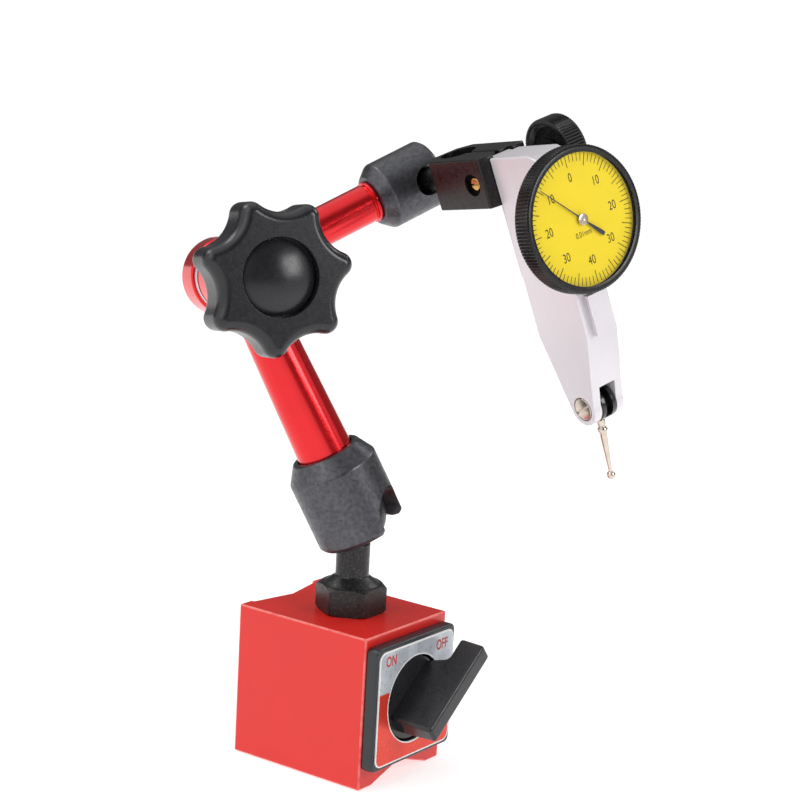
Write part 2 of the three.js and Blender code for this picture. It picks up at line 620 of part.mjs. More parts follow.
// ---- Indicator body -----------------------------------------------------------------------------------
function nosePoints() {
  const points = [];
  for (let i = 0; i <= 7; i++) {
    const angle = rad(-6 + (i * 168) / 7);
    points.push([PIVOT.n + NOSE * Math.cos(angle), PIVOT.s + NOSE * Math.sin(angle)]);
  }
  return points;
}
const bodyOutline = [
  [BODY.back, BODY.top], [-3.5, BODY.top], [0, BODY.top + 1.6], [0, BODY.bendFront], [-3.3, 37.7],
  ...nosePoints(), [BODY.back, BODY.bendBack],
];
const backRail = alongS([[BODY.back, -2.4], [BODY.back - 2, -3.1], [BODY.back - 2, 3.1], [BODY.back, 2.4],
  [BODY.back + 1, 2.4], [BODY.back + 1, -2.4]], BODY.top, 12);
const frontRail = alongS([[0, 2.25], [1.75, 2.85], [1.75, -2.85], [0, -2.25], [-1, -2.25], [-1, 2.25]], 16.4,
  BODY.bendFront);
const arborAt = PIVOT.s - SECTOR - LEVER_PINION;
const coverScrews = [["top", -8, -8.6], ["bottom", -8, 30.5]];
add(
  "indicator_body",
  cut(
    join(prism(bodyOutline, -BODY.half, BODY.half), backRail, frontRail),
    box(-20, 3, 37.7, 50, -2.3, 2.3),
    box(-11.5, -5, 25, 38, -2.3, 2.3),
    box(-13, -3, -6, 26, -2.3, 2.3),
    box(-12, -4, 9, 23, 2, 6),
    rodX(0.7, -13.8, 1, 0, 0, 12),
    rod(0.7, -3.4, 3.4, 12).translate(PIVOT.n, arborAt, 0),
    rod(1.15, -6, 6, 14).translate(PIVOT.n, PIVOT.s, 0),
    rod(2.8, -6, -BODY.half + 1, 24).translate(PIVOT.n, PIVOT.s, 0),
    rod(2.8, BODY.half - 1, 6, 24).translate(PIVOT.n, PIVOT.s, 0),
    ...coverScrews.map(([, n, s]) => rod(COVER_SCREW.hole, BODY.half - 1.8, 6, 12).translate(n, s, 0)),
  ),
  "satinAluminium",
  indicatorFrame.clone(),
);
const coverOutline = [[-15.7, -12.4], [-0.9, -12.4], [-0.9, 26], [-3.1, 34.9], [-12.9, 34.9], [-15.7, 25]];
add(
  "side_cover",
  cut(
    prism(coverOutline, BODY.half + 0.02, BODY.half + 0.62),
    ...coverScrews.map(([, n, s]) => rod(COVER_SCREW.hole, 3, 6, 12).translate(n, s, 0)),
  ),
  "satinAluminium",
  indicatorFrame.clone(),
);
const coverTop = BODY.half + 0.64;
for (const [place, n, s] of coverScrews) {
  const head = rod(COVER_SCREW.head, coverTop, coverTop + COVER_SCREW.headThick, 16);
  const shank = rod(COVER_SCREW.shank, BODY.half - COVER_SCREW.depth, coverTop + 0.1, 12);
  add("cover_screw_" + place, join(head, shank).translate(n, s, 0), "brightSteel", indicatorFrame.clone());
}
for (const [side, sign] of [["near", -1], ["far", 1]]) {
  const screw = turned([
    [0, 0.25], [0.85, 0.25], [0.85, BODY.half - 0.7], [2.55, BODY.half - 0.7], [2.55, BODY.half + 0.05],
    [0, BODY.half + 0.05],
  ], 20);
  if (sign < 0) screw.rotateX(Math.PI);
  add("pivot_screw_" + side, screw.translate(PIVOT.n, PIVOT.s, 0), "brightSteel", indicatorFrame.clone());
}

// Turned about the dial's axis: heights run along n.
const dialTurned = (profile, segments) => turned(profile, segments).rotateY(Math.PI / 2);
add(
  "dial_seat",
  cut(
    dialTurned([[0.8, 0.05], [14.4, 0.05], [14.4, 1.2], [11, 2.3], [0.8, 2.3], [0.8, 0.05]], 36),
    box(0, 3, 16, 30, -5, 5),
  ),
  "satinAluminium",
  indicatorFrame.clone(),
);
add(
  "bezel",
  dialTurned([
    [BEZEL.inner, 0.1], [BEZEL.outer, 0.1], [BEZEL.outer, BEZEL.front - 0.5],
    [BEZEL.outer - 0.45, BEZEL.front], [BEZEL.lip, BEZEL.front], [BEZEL.lip, BEZEL.front - 0.2],
    [BEZEL.inner, BEZEL.front - 0.25], [BEZEL.inner, 0.1],
  ], 48),
  "blackAnodised",
  indicatorFrame.clone(),
);
add(
  "dial_plate",
  dialTurned([[1, DIAL.front - 0.4], [DIAL.radius, DIAL.front - 0.4], [DIAL.radius, DIAL.front],
    [1, DIAL.front], [1, DIAL.front - 0.4]], 40),
  "dialYellow",
  indicatorFrame.clone(),
);
add("crystal", dialTurned([[0, 4.05], [14.6, 4.05], [14.6, 4.25], [0, 4.3]], 36), "glass",
  indicatorFrame.clone());

// ---- Indicator movement -------------------------------------------------------------------------------
// Edge of the toothed sector at the lever's upper end, round the pivot.
function sectorEdge(half, steps = 4) {
  const points = [];
  for (let i = 0; i <= steps; i++) {
    const angle = rad(half - (2 * half * i) / steps);
    const radius = SECTOR - 0.1;
    points.push([PIVOT.n - radius * Math.sin(angle), PIVOT.s - radius * Math.cos(angle)]);
  }
  return points;
}
// Lever that swings in the body: hub on the pivot screws, arm up to the sector.
const arm = prism([
  [PIVOT.n - 0.9, PIVOT.s - 1.5], [PIVOT.n - 0.9, PIVOT.s - 32], [PIVOT.n - 1.8, PIVOT.s - 34],
  ...sectorEdge(3), [PIVOT.n + 1.8, PIVOT.s - 34], [PIVOT.n + 0.9, PIVOT.s - 32],
  [PIVOT.n + 0.9, PIVOT.s - 1.5],
], -0.7, 0.7);
const pivotAt = (geometry) => geometry.translate(PIVOT.n, PIVOT.s, 0);
add(
  "sensing_lever",
  cut(join(pivotAt(rod(2.5, -0.7, 0.7, 20)), arm), pivotAt(rod(1.15, -2, 2, 14))),
  "brightSteel",
  indicatorFrame.clone(),
);
add(
  "crown_gear",
  join(
    rod(LEVER_PINION - 0.1, -0.8, 1.2, 16),
    rod(CROWN, 1.15, 1.7, 32),
    rod(0.5, -3.2, 3.2, 12),
  ).translate(PIVOT.n, arborAt, 0),
  "brass",
  indicatorFrame.clone(),
);
add(
  "pointer_arbor",
  dialTurned([
    [0, -13.5], [0.45, -13.5], [0.45, -9.8], [POINTER_PINION, -9.8], [POINTER_PINION, -6.2], [0.45, -6.2],
    [0.45, 3.4], [0, 3.4],
  ], 12),
  "brightSteel",
  indicatorFrame.clone(),
);
const needleOutline = [
  [-POINTER.tail, -0.55], [-2, -0.35], [2, -0.2], [POINTER.tip, -0.06], [POINTER.tip, 0.06], [2, 0.2],
  [-2, 0.35], [-POINTER.tail, 0.55],
];
const needleTurn = rad(POINTER.turn);
const needle = prism(needleOutline, -0.08, 0.08)
  .applyMatrix4(new THREE.Matrix4().makeBasis(
    new THREE.Vector3(0, -Math.sin(needleTurn), -Math.cos(needleTurn)),
    new THREE.Vector3(0, Math.cos(needleTurn), -Math.sin(needleTurn)),
    new THREE.Vector3(1, 0, 0),
  ))
  .translate(POINTER.height, 0, 0);
add(
  "pointer",
  cut(join(needle, rodX(1.25, 3.5, 3.9, 0, 0, 24)), rodX(0.6, 3, 3.6, 0, 0, 12)),
  "blackSteel",
  indicatorFrame.clone(),
);

// ---- Stylus -------------------------------------------------------------------------------------------
// Stylus frame: Z from the pivot along the stylus, Y across the body.
const stylusOrigin = new THREE.Vector3(PIVOT.n, PIVOT.s, 0).applyMatrix4(indicatorFrame);
const stylusAxis = mix(bodyDown, dialAxis, rad(STYLUS.lean));
const stylusFrame = frameOf(stylusOrigin, stylusAxis, bodySide);
const toAcross = (geometry) => geometry.rotateY(Math.PI / 2);
function wedge(reachOut, half) {
  const points = [[0, 0]];
  for (let i = 0; i <= 6; i++) {
    const angle = rad(-half + (i * half) / 3);
    points.push([reachOut * Math.sin(angle), reachOut * Math.cos(angle)]);
  }
  return points;
}
const bridge = prism(wedge(6, 55), -1, 1).applyMatrix4(new THREE.Matrix4().makeBasis(
  new THREE.Vector3(0, 1, 0),
  new THREE.Vector3(0, 0, 1),
  new THREE.Vector3(1, 0, 0),
));
const cheekGap = cut(toAcross(rod(6, -0.95, 0.95, 28)), cut(bridge, toAcross(rod(2.9, -3, 3, 24))));
add(
  "stylus_carrier",
  cut(
    toAcross(rod(4, -2, 2, 28)),
    cheekGap,
    toAcross(rod(1.15, -3, 3, 14)),
    rod(0.75, 3, 6, 12),
  ),
  "blackPlastic",
  stylusFrame.clone(),
);
add(
  "stylus",
  turned([
    [0, 3.2], [0.6, 3.2], [0.6, 4.1], [0.95, 4.1], [0.95, 5.5], [0.75, 5.7], [1.15, 6.3], [1.2, 6.7],
    [0.95, 7.1], [0.48, STYLUS.length - 1.2], [0.48, STYLUS.length - 0.87], [0.85, STYLUS.length - 0.5],
    [STYLUS.tip, STYLUS.length],
    [0.7, STYLUS.length + 0.71], [0, STYLUS.length + STYLUS.tip],
  ], 16),
  "brightSteel",
  stylusFrame.clone(),
);

export default part;
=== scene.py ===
"""Looks of a small magnetic base with a jointed arm and a lever-type test indicator.
Metres, +Z up, front towards -Y. Pieces are drawn in millimetres in the frame of the body they belong to."""

import json
import math

import bmesh
import bpy
from mathutils import Matrix, Vector


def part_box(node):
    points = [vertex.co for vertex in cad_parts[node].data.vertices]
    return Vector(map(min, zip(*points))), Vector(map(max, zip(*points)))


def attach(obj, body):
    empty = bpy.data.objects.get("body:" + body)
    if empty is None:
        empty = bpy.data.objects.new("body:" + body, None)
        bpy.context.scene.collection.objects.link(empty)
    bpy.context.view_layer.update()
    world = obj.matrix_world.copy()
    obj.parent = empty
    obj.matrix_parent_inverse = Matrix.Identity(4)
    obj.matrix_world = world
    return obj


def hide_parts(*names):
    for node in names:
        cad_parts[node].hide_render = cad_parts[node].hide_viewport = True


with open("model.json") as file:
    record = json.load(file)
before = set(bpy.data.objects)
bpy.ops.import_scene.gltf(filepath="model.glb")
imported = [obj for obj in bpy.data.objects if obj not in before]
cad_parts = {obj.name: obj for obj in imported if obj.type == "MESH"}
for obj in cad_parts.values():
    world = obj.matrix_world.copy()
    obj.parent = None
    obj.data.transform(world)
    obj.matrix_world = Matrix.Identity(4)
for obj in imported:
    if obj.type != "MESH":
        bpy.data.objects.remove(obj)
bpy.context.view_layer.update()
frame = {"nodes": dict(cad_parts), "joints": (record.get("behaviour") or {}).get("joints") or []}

MM = 0.001
rad = math.radians
RIGHT, REAR, UP = Vector((1, 0, 0)), Vector((0, 1, 0)), Vector((0, 0, 1))
FRONT = Vector((0, -1, 0))

# ---- Frames -------------------------------------------------------------------------------------
JOINTS = {j["name"]: j for j in frame["joints"]}


def point(joint):
    return Vector(JOINTS[joint]["pos_m"])


def axis(joint):
    return Vector(JOINTS[joint]["axis"]).normalized()


def basis(origin, x, y, z):
    """Matrix from millimetres along x, y and z to metres in the object's frame."""
    m = Matrix.Identity(4)
    for column, direction in enumerate((x, y, z)):
        for row in range(3):
            m[row][column] = direction[row] * MM
    m.translation = origin
    return m


def frame_of(origin, z, x):
    """Frame with its Z along z and its X as near to x as it can be."""
    z = z.normalized()
    x = (x - z * x.dot(z)).normalized()
    return basis(origin, x, z.cross(x), z)


KNOB_AXIS = axis("elbow_fold")
LOWER_AXIS = axis("lower_arm_roll")
ELBOW = point("elbow_fold")
LOWER_BALL = point("lower_ball_turn")
UPPER_BALL = point("clamp_ball_tilt")
UPPER_ROOT = ELBOW + KNOB_AXIS * (UPPER_BALL - ELBOW).dot(KNOB_AXIS)
UPPER_AXIS = (UPPER_BALL - UPPER_ROOT).normalized()
DIAL_AXIS = axis("bezel_turn")
BODY_DOWN = -axis("indicator_slide")
BODY_SIDE = axis("clamp_knob_turn")
DIAL = point("bezel_turn")
PIVOT = point("lever_swing")

block_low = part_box("pole_left")[0]
block_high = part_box("pole_right")[1]
BLOCK_CENTRE = (block_low + block_high) / 2
BASE_AT = Vector((BLOCK_CENTRE.x, BLOCK_CENTRE.y, 0.0))

# BASE stands under the block's middle, STUD under the stud, and BALL in the lower ball. LOWER and UPPER
# have their Z along the two arms, KNOB along the elbow's axis, SLOT from the upper ball back along its arm,
# NECK along the clamp's stud, and STYLUS along the stylus.
BASE = basis(BASE_AT, RIGHT, REAR, UP)
STUD = basis(Vector((LOWER_BALL.x, LOWER_BALL.y, 0)), RIGHT, REAR, UP)
BALL = basis(LOWER_BALL, RIGHT, REAR, UP)
LOWER = frame_of(LOWER_BALL, LOWER_AXIS, KNOB_AXIS)
KNOB = frame_of(ELBOW, KNOB_AXIS, UP.cross(KNOB_AXIS))
UPPER = frame_of(UPPER_ROOT, UPPER_AXIS, KNOB_AXIS)
SLOT = frame_of(UPPER_BALL, -UPPER_AXIS, DIAL_AXIS)
NECK = frame_of(UPPER_BALL, DIAL_AXIS, BODY_DOWN)
# GAUGE has its X out of the dial, its Y down the body and its Z across it. FACE has its Z out of the dial.
GAUGE = basis(DIAL, DIAL_AXIS, BODY_DOWN, BODY_SIDE)
FACE = basis(DIAL, BODY_SIDE, -BODY_DOWN, DIAL_AXIS)
STYLUS_LEAN = rad(-7.1)  # away from the dial's side
STYLUS = frame_of(
    PIVOT, BODY_DOWN * math.cos(STYLUS_LEAN) + DIAL_AXIS * math.sin(STYLUS_LEAN), BODY_SIDE
)
LOWER_LENGTH = (ELBOW - LOWER_BALL).length / MM
PLATE_FACE = -21.0  # the switch plate's front, from the block's middle
SWITCH_HEIGHT = point("magnet_switch_turn").z / MM
SWITCH_FACE = basis(BASE_AT + Vector((0, PLATE_FACE * MM, 0)), RIGHT, UP, FRONT)

# ---- Materials ----------------------------------------------------------------------------------
BUMP_DEPTH = 0.00003  # metres
LACQUER_ROUGHNESS = 0.08


def surface(name, colour, rough, metal=0.0, shade=0.85, patch=300.0, rough_span=0.06, rough_scale=900.0,
            bump=0.0, bump_scale=4000.0, stretch=None, specks=None, coat=0.0, split=None, gloss=0.5,
            edge=None):
    """A procedural finish: colour drifts between two shades, roughness varies, and a fine bump.

    stretch draws the noise out along a direction, specks scatter a second colour, split paints what lies
    below a height in another colour, edge is a painted highlight that lightens the faces marked "edge",
    and coat is a clear lacquer."""
    mat = bpy.data.materials.new(name)
    mat.use_nodes = True
    nodes, links = mat.node_tree.nodes, mat.node_tree.links
    bsdf = nodes["Principled BSDF"]
    bsdf.inputs["Metallic"].default_value = metal
    bsdf.inputs["Specular IOR Level"].default_value = gloss
    if coat:
        bsdf.inputs["Coat Weight"].default_value = coat
        bsdf.inputs["Coat Roughness"].default_value = LACQUER_ROUGHNESS
    coords = nodes.new("ShaderNodeTexCoord")
    where = coords.outputs["Object"]
    if stretch:
        direction, factor = stretch
        mapping = nodes.new("ShaderNodeMapping")
        mapping.vector_type = "TEXTURE"
        mapping.inputs["Rotation"].default_value = direction.to_track_quat("Z", "Y").to_euler()
        mapping.inputs["Scale"].default_value = (1, 1, 1 / factor)
        links.new(where, mapping.inputs["Vector"])
        where = mapping.outputs["Vector"]

    def noise(scale, detail=3.0):
        node = nodes.new("ShaderNodeTexNoise")
        node.inputs["Scale"].default_value = scale
        node.inputs["Detail"].default_value = detail
        links.new(where, node.inputs["Vector"])
        return node.outputs["Fac"]

    def mix(factor, a, b):
        node = nodes.new("ShaderNodeMix")
        node.data_type = "RGBA"
        links.new(factor, node.inputs["Factor"])
        for socket, value in ((node.inputs["A"], a), (node.inputs["B"], b)):
            if isinstance(value, tuple):
                socket.default_value = value
            else:
                links.new(value, socket)
        return node.outputs["Result"]

    def ramp(source, low, high):
        node = nodes.new("ShaderNodeMapRange")
        node.inputs["From Min"].default_value = low
        node.inputs["From Max"].default_value = high
        links.new(source, node.inputs["Value"])
        return node.outputs["Result"]

    light = (*colour, 1.0)
    dark = (*[c * shade for c in colour], 1.0)
    base = mix(ramp(noise(patch), 0.35, 0.65), dark, light)
    if split:
        other, height, spread = split
        position = nodes.new("ShaderNodeSeparateXYZ")
        links.new(where, position.inputs[0])
        streaks = ramp(noise(patch * 1.7), 0.3, 0.75)
        tone = mix(streaks, (*[c * 0.9 for c in other], 1.0), (*other, 1.0))
        base = mix(ramp(position.outputs["Z"], height + spread, height - spread), base, tone)
    if specks:
        speck_colour, scale, low, high = specks
        base = mix(ramp(noise(scale, 1.0), low, high), base, (*speck_colour, 1.0))
    # Painted highlight: the faces marked "edge" take the lighter edge colour, in patches.
    if edge:
        marked = nodes.new("ShaderNodeAttribute")
        marked.attribute_name = "edge"
        times = nodes.new("ShaderNodeMath")
        times.operation = "MULTIPLY"
        links.new(marked.outputs["Fac"], times.inputs[0])
        links.new(ramp(noise(420.0), 0.2, 0.55), times.inputs[1])
        base = mix(times.outputs[0], base, (*edge, 1.0))
    links.new(base, bsdf.inputs["Base Color"])
    span = nodes.new("ShaderNodeMapRange")
    span.inputs["From Min"].default_value = 0.3
    span.inputs["From Max"].default_value = 0.7
    span.inputs["To Min"].default_value = max(0.02, rough - rough_span)
    span.inputs["To Max"].default_value = rough + rough_span
    links.new(noise(rough_scale), span.inputs["Value"])
    links.new(span.outputs["Result"], bsdf.inputs["Roughness"])
    if bump:
        node = nodes.new("ShaderNodeBump")
        node.inputs["Strength"].default_value = bump
        node.inputs["Distance"].default_value = BUMP_DEPTH
        links.new(noise(bump_scale, 2.0), node.inputs["Height"])
        links.new(node.outputs["Normal"], bsdf.inputs["Normal"])
    return mat


# RED_PAINT's edge colour is a painted highlight, a lighter red on the block's small bevel faces.
RED_PAINT = surface("red_gloss_paint", (0.74, 0.020, 0.014), 0.34, shade=0.965, patch=90, rough_span=0.04,
                    bump=0.06, bump_scale=900, coat=0.3, gloss=0.35, edge=(0.86, 0.17, 0.15))
RED_ANODISED = surface("red_anodised_tube", (0.78, 0.010, 0.016), 0.17, metal=0.7, shade=0.95, patch=150,
                       rough_span=0.03, coat=0.35)
BLACK_PLASTIC = surface("black_moulded_plastic", (0.013, 0.013, 0.016), 0.31, shade=0.85, patch=400,
                        bump=0.08, bump_scale=3000)
PLATE_PLASTIC = surface("slate_plate_plastic", (0.019, 0.022, 0.026), 0.34, shade=0.85, patch=300, bump=0.2,
                        bump_scale=3500)
KNOB_PLASTIC = surface("charcoal_knob_plastic", (0.011, 0.011, 0.014), 0.27, shade=0.9, patch=400,
                       rough_span=0.03, bump=0.06, bump_scale=2500)
BLACKENED = surface("blackened_steel", (0.105, 0.106, 0.118), 0.36, metal=0.75, shade=0.66, patch=1100,
                    rough_span=0.10, bump=0.3, bump_scale=2600,
                    specks=((0.105, 0.105, 0.115), 3000, 0.60, 0.80))
BLACK_OXIDE = surface("black_oxide", (0.024, 0.022, 0.023), 0.36, metal=0.35, shade=0.5, patch=1300,
                      rough_span=0.10, bump=0.2, bump_scale=2500,
                      specks=((0.10, 0.095, 0.095), 2400, 0.62, 0.78))
BLACK_ANODISED = surface("black_anodised", (0.0085, 0.0075, 0.0075), 0.28, metal=0.2, shade=0.8, patch=500,
                         bump=0.1, bump_scale=5000)
CARRIER_BLACK = surface("glossy_black_carrier", (0.012, 0.011, 0.012), 0.2, metal=0.2, shade=0.8, patch=700,
                        bump=0.05, bump_scale=4000, coat=0.4)
BRIGHT_STEEL = surface("bright_steel", (0.62, 0.62, 0.64), 0.22, metal=1.0, shade=0.85, patch=700, bump=0.08,
                       bump_scale=3000)
DARK_STEEL = surface("dark_steel", (0.03, 0.03, 0.033), 0.3, metal=0.8, shade=0.8, patch=700, bump=0.08,
                     bump_scale=3000)
CHROME = surface("chromed_steel", (0.68, 0.59, 0.51), 0.18, metal=1.0, shade=0.92, patch=600,
                 rough_span=0.03)
ALUMINIUM = surface("satin_aluminium", (0.755, 0.722, 0.757), 0.36, metal=0.35, shade=0.965, patch=200,
                    rough_span=0.04, bump=0.07, bump_scale=9000, stretch=(BODY_DOWN, 0.25))
MACHINED = surface("machined_aluminium", (0.60, 0.60, 0.62), 0.35, metal=0.9, shade=0.85, patch=600,
                   bump=0.15, bump_scale=3000)
BRASS = surface("brass", (0.72, 0.47, 0.15), 0.25, metal=1.0, shade=0.75, patch=900, bump=0.1)
FERRITE = surface("ferrite", (0.05, 0.05, 0.055), 0.6, shade=0.7, patch=900, bump=0.4, bump_scale=3000)
YELLOW = surface("yellow_dial_paint", (1.0, 0.76, 0.012), 0.5, shade=0.98, patch=200, bump=0.03,
                 bump_scale=6000, gloss=0.15)
INK = surface("black_print", (0.012, 0.010, 0.004), 0.5, shade=0.8, patch=2000, gloss=0.1)
NEEDLE = surface("needle_black", (0.010, 0.010, 0.010), 0.35, shade=0.7, patch=900)
SILVER_PRINT = surface("silver_print", (0.64, 0.68, 0.74), 0.3, metal=0.4, shade=0.66, patch=150,
                       rough_span=0.05, split=((0.80, 0.052, 0.028), 0.0225, 0.00015))
WHITE_PRINT = surface("white_print", (0.88, 0.87, 0.86), 0.35, shade=0.95, patch=500)
RED_PRINT = surface("red_print", (0.50, 0.018, 0.02), 0.4, shade=0.85, patch=900)


def glass(name):
    """Clear crystal: lets light through, with a mirror layer that grows towards the rim."""
    mat = bpy.data.materials.new(name)
    mat.use_nodes = True
    nodes, links = mat.node_tree.nodes, mat.node_tree.links
    nodes.remove(nodes["Principled BSDF"])
    clear = nodes.new("ShaderNodeBsdfTransparent")
    clear.inputs["Color"].default_value = (0.985, 0.985, 0.98, 1.0)
    mirror = nodes.new("ShaderNodeBsdfGlossy")
    coords = nodes.new("ShaderNodeTexCoord")
    smear = nodes.new("ShaderNodeTexNoise")
    smear.inputs["Scale"].default_value = 160
    links.new(coords.outputs["Object"], smear.inputs["Vector"])
    span = nodes.new("ShaderNodeMapRange")
    span.inputs["To Min"].default_value = 0.02
    span.inputs["To Max"].default_value = 0.08
    links.new(smear.outputs["Fac"], span.inputs["Value"])
    links.new(span.outputs["Result"], mirror.inputs["Roughness"])
    facing = nodes.new("ShaderNodeLayerWeight")
    facing.inputs["Blend"].default_value = 0.5
    rim = nodes.new("ShaderNodeMapRange")
    rim.inputs["From Min"].default_value = 0.15
    rim.inputs["To Min"].default_value = 0.012
    rim.inputs["To Max"].default_value = 0.22
    links.new(facing.outputs["Facing"], rim.inputs["Value"])
    blend = nodes.new("ShaderNodeMixShader")
    links.new(rim.outputs["Result"], blend.inputs["Fac"])
    links.new(clear.outputs["BSDF"], blend.inputs[1])
    links.new(mirror.outputs["BSDF"], blend.inputs[2])
    links.new(blend.outputs["Shader"], nodes["Material Output"].inputs["Surface"])
    return mat


CRYSTAL = glass("crystal")

# ---- Mesh helpers -------------------------------------------------------------------------------
ON_AXIS = 1e-9  # a point of a profile with a smaller radius lies on the axis
STRAIGHT = -0.985  # a corner whose cosine is below this stays as it is
KNURL_WAVE = (1, 0.5, 0, 0.5)  # share of the knurl's depth at four steps around the rim


def new_object(name, mesh):
    obj = bpy.data.objects.new(name, mesh)
    bpy.context.scene.collection.objects.link(obj)
    return obj


def from_data(name, verts, faces):
    """Object from points and faces, with double points joined and all faces turned outwards."""
    mesh = bpy.data.meshes.new(name)
    mesh.from_pydata(verts, [], faces)
    bm = bmesh.new()
    bm.from_mesh(mesh)
    bmesh.ops.remove_doubles(bm, verts=bm.verts, dist=1e-5)
    bmesh.ops.recalc_face_normals(bm, faces=bm.faces)
    bm.to_mesh(mesh)
    bm.free()
    return new_object(name, mesh)


def lathe(name, profile, segments=96, ripple=None):
    """Turned about local Z from (radius, height) points. ripple gives each point's knurl depth."""
    verts, faces = [], []
    count = len(profile)
    for i in range(segments):
        angle = 2 * math.pi * i / segments
        for index, (r, z) in enumerate(profile):
            radius = r - (ripple[index] * KNURL_WAVE[i % 4] if ripple else 0)
            verts.append((radius * math.cos(angle), radius * math.sin(angle), z))
    for i in range(segments):
        j = (i + 1) % segments
        for k in range(count - 1):
            quad = [i * count + k, j * count + k, j * count + k + 1, i * count + k + 1]
            if profile[k][0] < ON_AXIS:
                quad = [i * count + k, j * count + k + 1, i * count + k + 1]
            elif profile[k + 1][0] < ON_AXIS:
                quad = [i * count + k, j * count + k, i * count + k + 1]
            faces.append(quad)
    return from_data(name, verts, faces)


def rounded(profile, radius=0.3, steps=3, keep=()):
    """The profile with each corner off the axis turned into a small curve, except the points in keep."""
    out = []
    count = len(profile)
    closed = profile[0] == profile[-1]
    for i, p in enumerate(profile):
        before = profile[i - 1] if i else (profile[-2] if closed else None)
        after = profile[i + 1] if i + 1 < count else (profile[1] if closed else None)
        if before is None or after is None or i in keep or p[0] < ON_AXIS:
            out.append(p)
            continue
        a, b, c = Vector(before), Vector(p), Vector(after)
        u, v = (a - b), (c - b)
        if u.length < 1e-6 or v.length < 1e-6:
            out.append(p)
            continue
        cosine = u.normalized().dot(v.normalized())
        if cosine < STRAIGHT:
            out.append(p)
            continue
        reach = min(radius, 0.45 * u.length, 0.45 * v.length)
        start, end = b + u.normalized() * reach, b + v.normalized() * reach
        for s in range(steps + 1):
            t = s / steps
            q = start * (1 - t) ** 2 + b * 2 * t * (1 - t) + end * t ** 2
            out.append((q.x, q.y))
    if closed:
        out[-1] = out[0]
    return out


def prism(name, outline, low, high):
    """Solid with the outline, drawn in (X, Y), from low to high along Z."""
    count = len(outline)
    verts = [(x, y, low) for x, y in outline] + [(x, y, high) for x, y in outline]
    faces = [list(range(count))[::-1], list(range(count, 2 * count))]
    faces += [[i, (i + 1) % count, count + (i + 1) % count, count + i] for i in range(count)]
    return from_data(name, verts, faces)


def cuboid(x0, x1, y0, y1, z0, z1):
    return prism("tool", [(x0, y0), (x1, y0), (x1, y1), (x0, y1)], z0, z1)


def moved(obj, matrix):
    obj.data.transform(matrix)
    if matrix.determinant() < 0:
        obj.data.flip_normals()
    return obj


def along_x(obj):
    """Turns a prism drawn in (Y, Z) so that its height runs along +X."""
    return moved(obj, Matrix(((0, 0, 1, 0), (1, 0, 0, 0), (0, 1, 0, 0), (0, 0, 0, 1))))


def along_y(obj):
    """Turns a prism drawn in (X, Z) so that its height runs along +Y."""
    return moved(obj, Matrix(((1, 0, 0, 0), (0, 0, 1, 0), (0, 1, 0, 0), (0, 0, 0, 1))))


def turn(obj, angle, which):
    return moved(obj, Matrix.Rotation(angle, 4, which))


def shift(obj, x=0.0, y=0.0, z=0.0):
    return moved(obj, Matrix.Translation((x, y, z)))


def rod(radius, low, high, segments=48):
    return lathe("tool", [(0, low), (radius, low), (radius, high), (0, high)], segments)


def rod_x(radius, low, high, y=0.0, z=0.0, segments=48):
    return shift(turn(rod(radius, low, high, segments), rad(90), "Y"), 0, y, z)


def rod_y(radius, low, high, x=0.0, z=0.0, segments=48):
    return shift(turn(rod(radius, low, high, segments), rad(-90), "X"), x, 0, z)


def rod_z(radius, low, high, x=0.0, y=0.0, segments=48):
    return shift(rod(radius, low, high, segments), x, y, 0)


def bake(obj):
    """Applies an object's modifiers to its mesh."""
    bpy.context.view_layer.update()
    graph = bpy.context.evaluated_depsgraph_get()
    mesh = bpy.data.meshes.new_from_object(obj.evaluated_get(graph))
    obj.modifiers.clear()
    obj.data = mesh
    return obj


def combine(obj, tools, operation="DIFFERENCE"):
    """Cuts the tools from the object, or joins them to it, and deletes them."""
    for tool in tools:
        modifier = obj.modifiers.new("boolean", "BOOLEAN")
        modifier.operation = operation
        modifier.solver = "EXACT"
        modifier.object = tool
    bake(obj)
    for tool in tools:
        bpy.data.objects.remove(tool)
    return obj


def soften(obj, width, segments=2, angle=35):
    """Small round on every edge sharper than the angle."""
    modifier = obj.modifiers.new("bevel", "BEVEL")
    modifier.width = width
    modifier.segments = segments
    modifier.limit_method = "ANGLE"
    modifier.angle_limit = rad(angle)
    modifier.miter_outer = "MITER_ARC"
    return bake(obj)


def finish(obj, name, place, body, material, replaces=(), smooth=38):
    """Puts a piece drawn in millimetres into its place, on its body, with its material."""
    obj.name = name
    obj.data.transform(place)
    if place.determinant() < 0:
        obj.data.flip_normals()
    obj.data.name = name
    obj.data.materials.clear()
    obj.data.materials.append(material)
    obj.data.polygons.foreach_set("material_index", [0] * len(obj.data.polygons))
    obj.data.polygons.foreach_set("use_smooth", [True] * len(obj.data.polygons))
    obj.data.set_sharp_from_angle(angle=rad(smooth))
    weighted = obj.modifiers.new("normals", "WEIGHTED_NORMAL")
    weighted.keep_sharp = True
    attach(obj, body)
    if replaces:
        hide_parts(*replaces)
    return obj


def dress(node, material):
    """A CAD node kept as it is, with a better material."""
    obj = frame["nodes"][node]
    obj.data.materials.clear()
    obj.data.materials.append(material)
    obj.data.polygons.foreach_set("material_index", [0] * len(obj.data.polygons))


def arc(cx, cy, radius, start, end, steps):
    """Points of an arc, with its angles in degrees."""
    return [
        (cx + radius * math.cos(rad(start + (end - start) * i / steps)),
         cy + radius * math.sin(rad(start + (end - start) * i / steps)))
        for i in range(steps + 1)
    ]


def rounded_rectangle(width, height, corner, steps=8):
    """Outline around the origin, with its corners' radius."""
    points = []
    for quarter, (sx, sy) in enumerate(((1, 1), (-1, 1), (-1, -1), (1, -1))):
        points += arc(sx * (width / 2 - corner), sy * (height / 2 - corner), corner,
                      90 * quarter, 90 * quarter + 90, steps)
    return points


def mirrored(half):
    """A symmetrical outline from the points on one side of its long axis."""
    return half + [(x, -y) for x, y in reversed(half)]


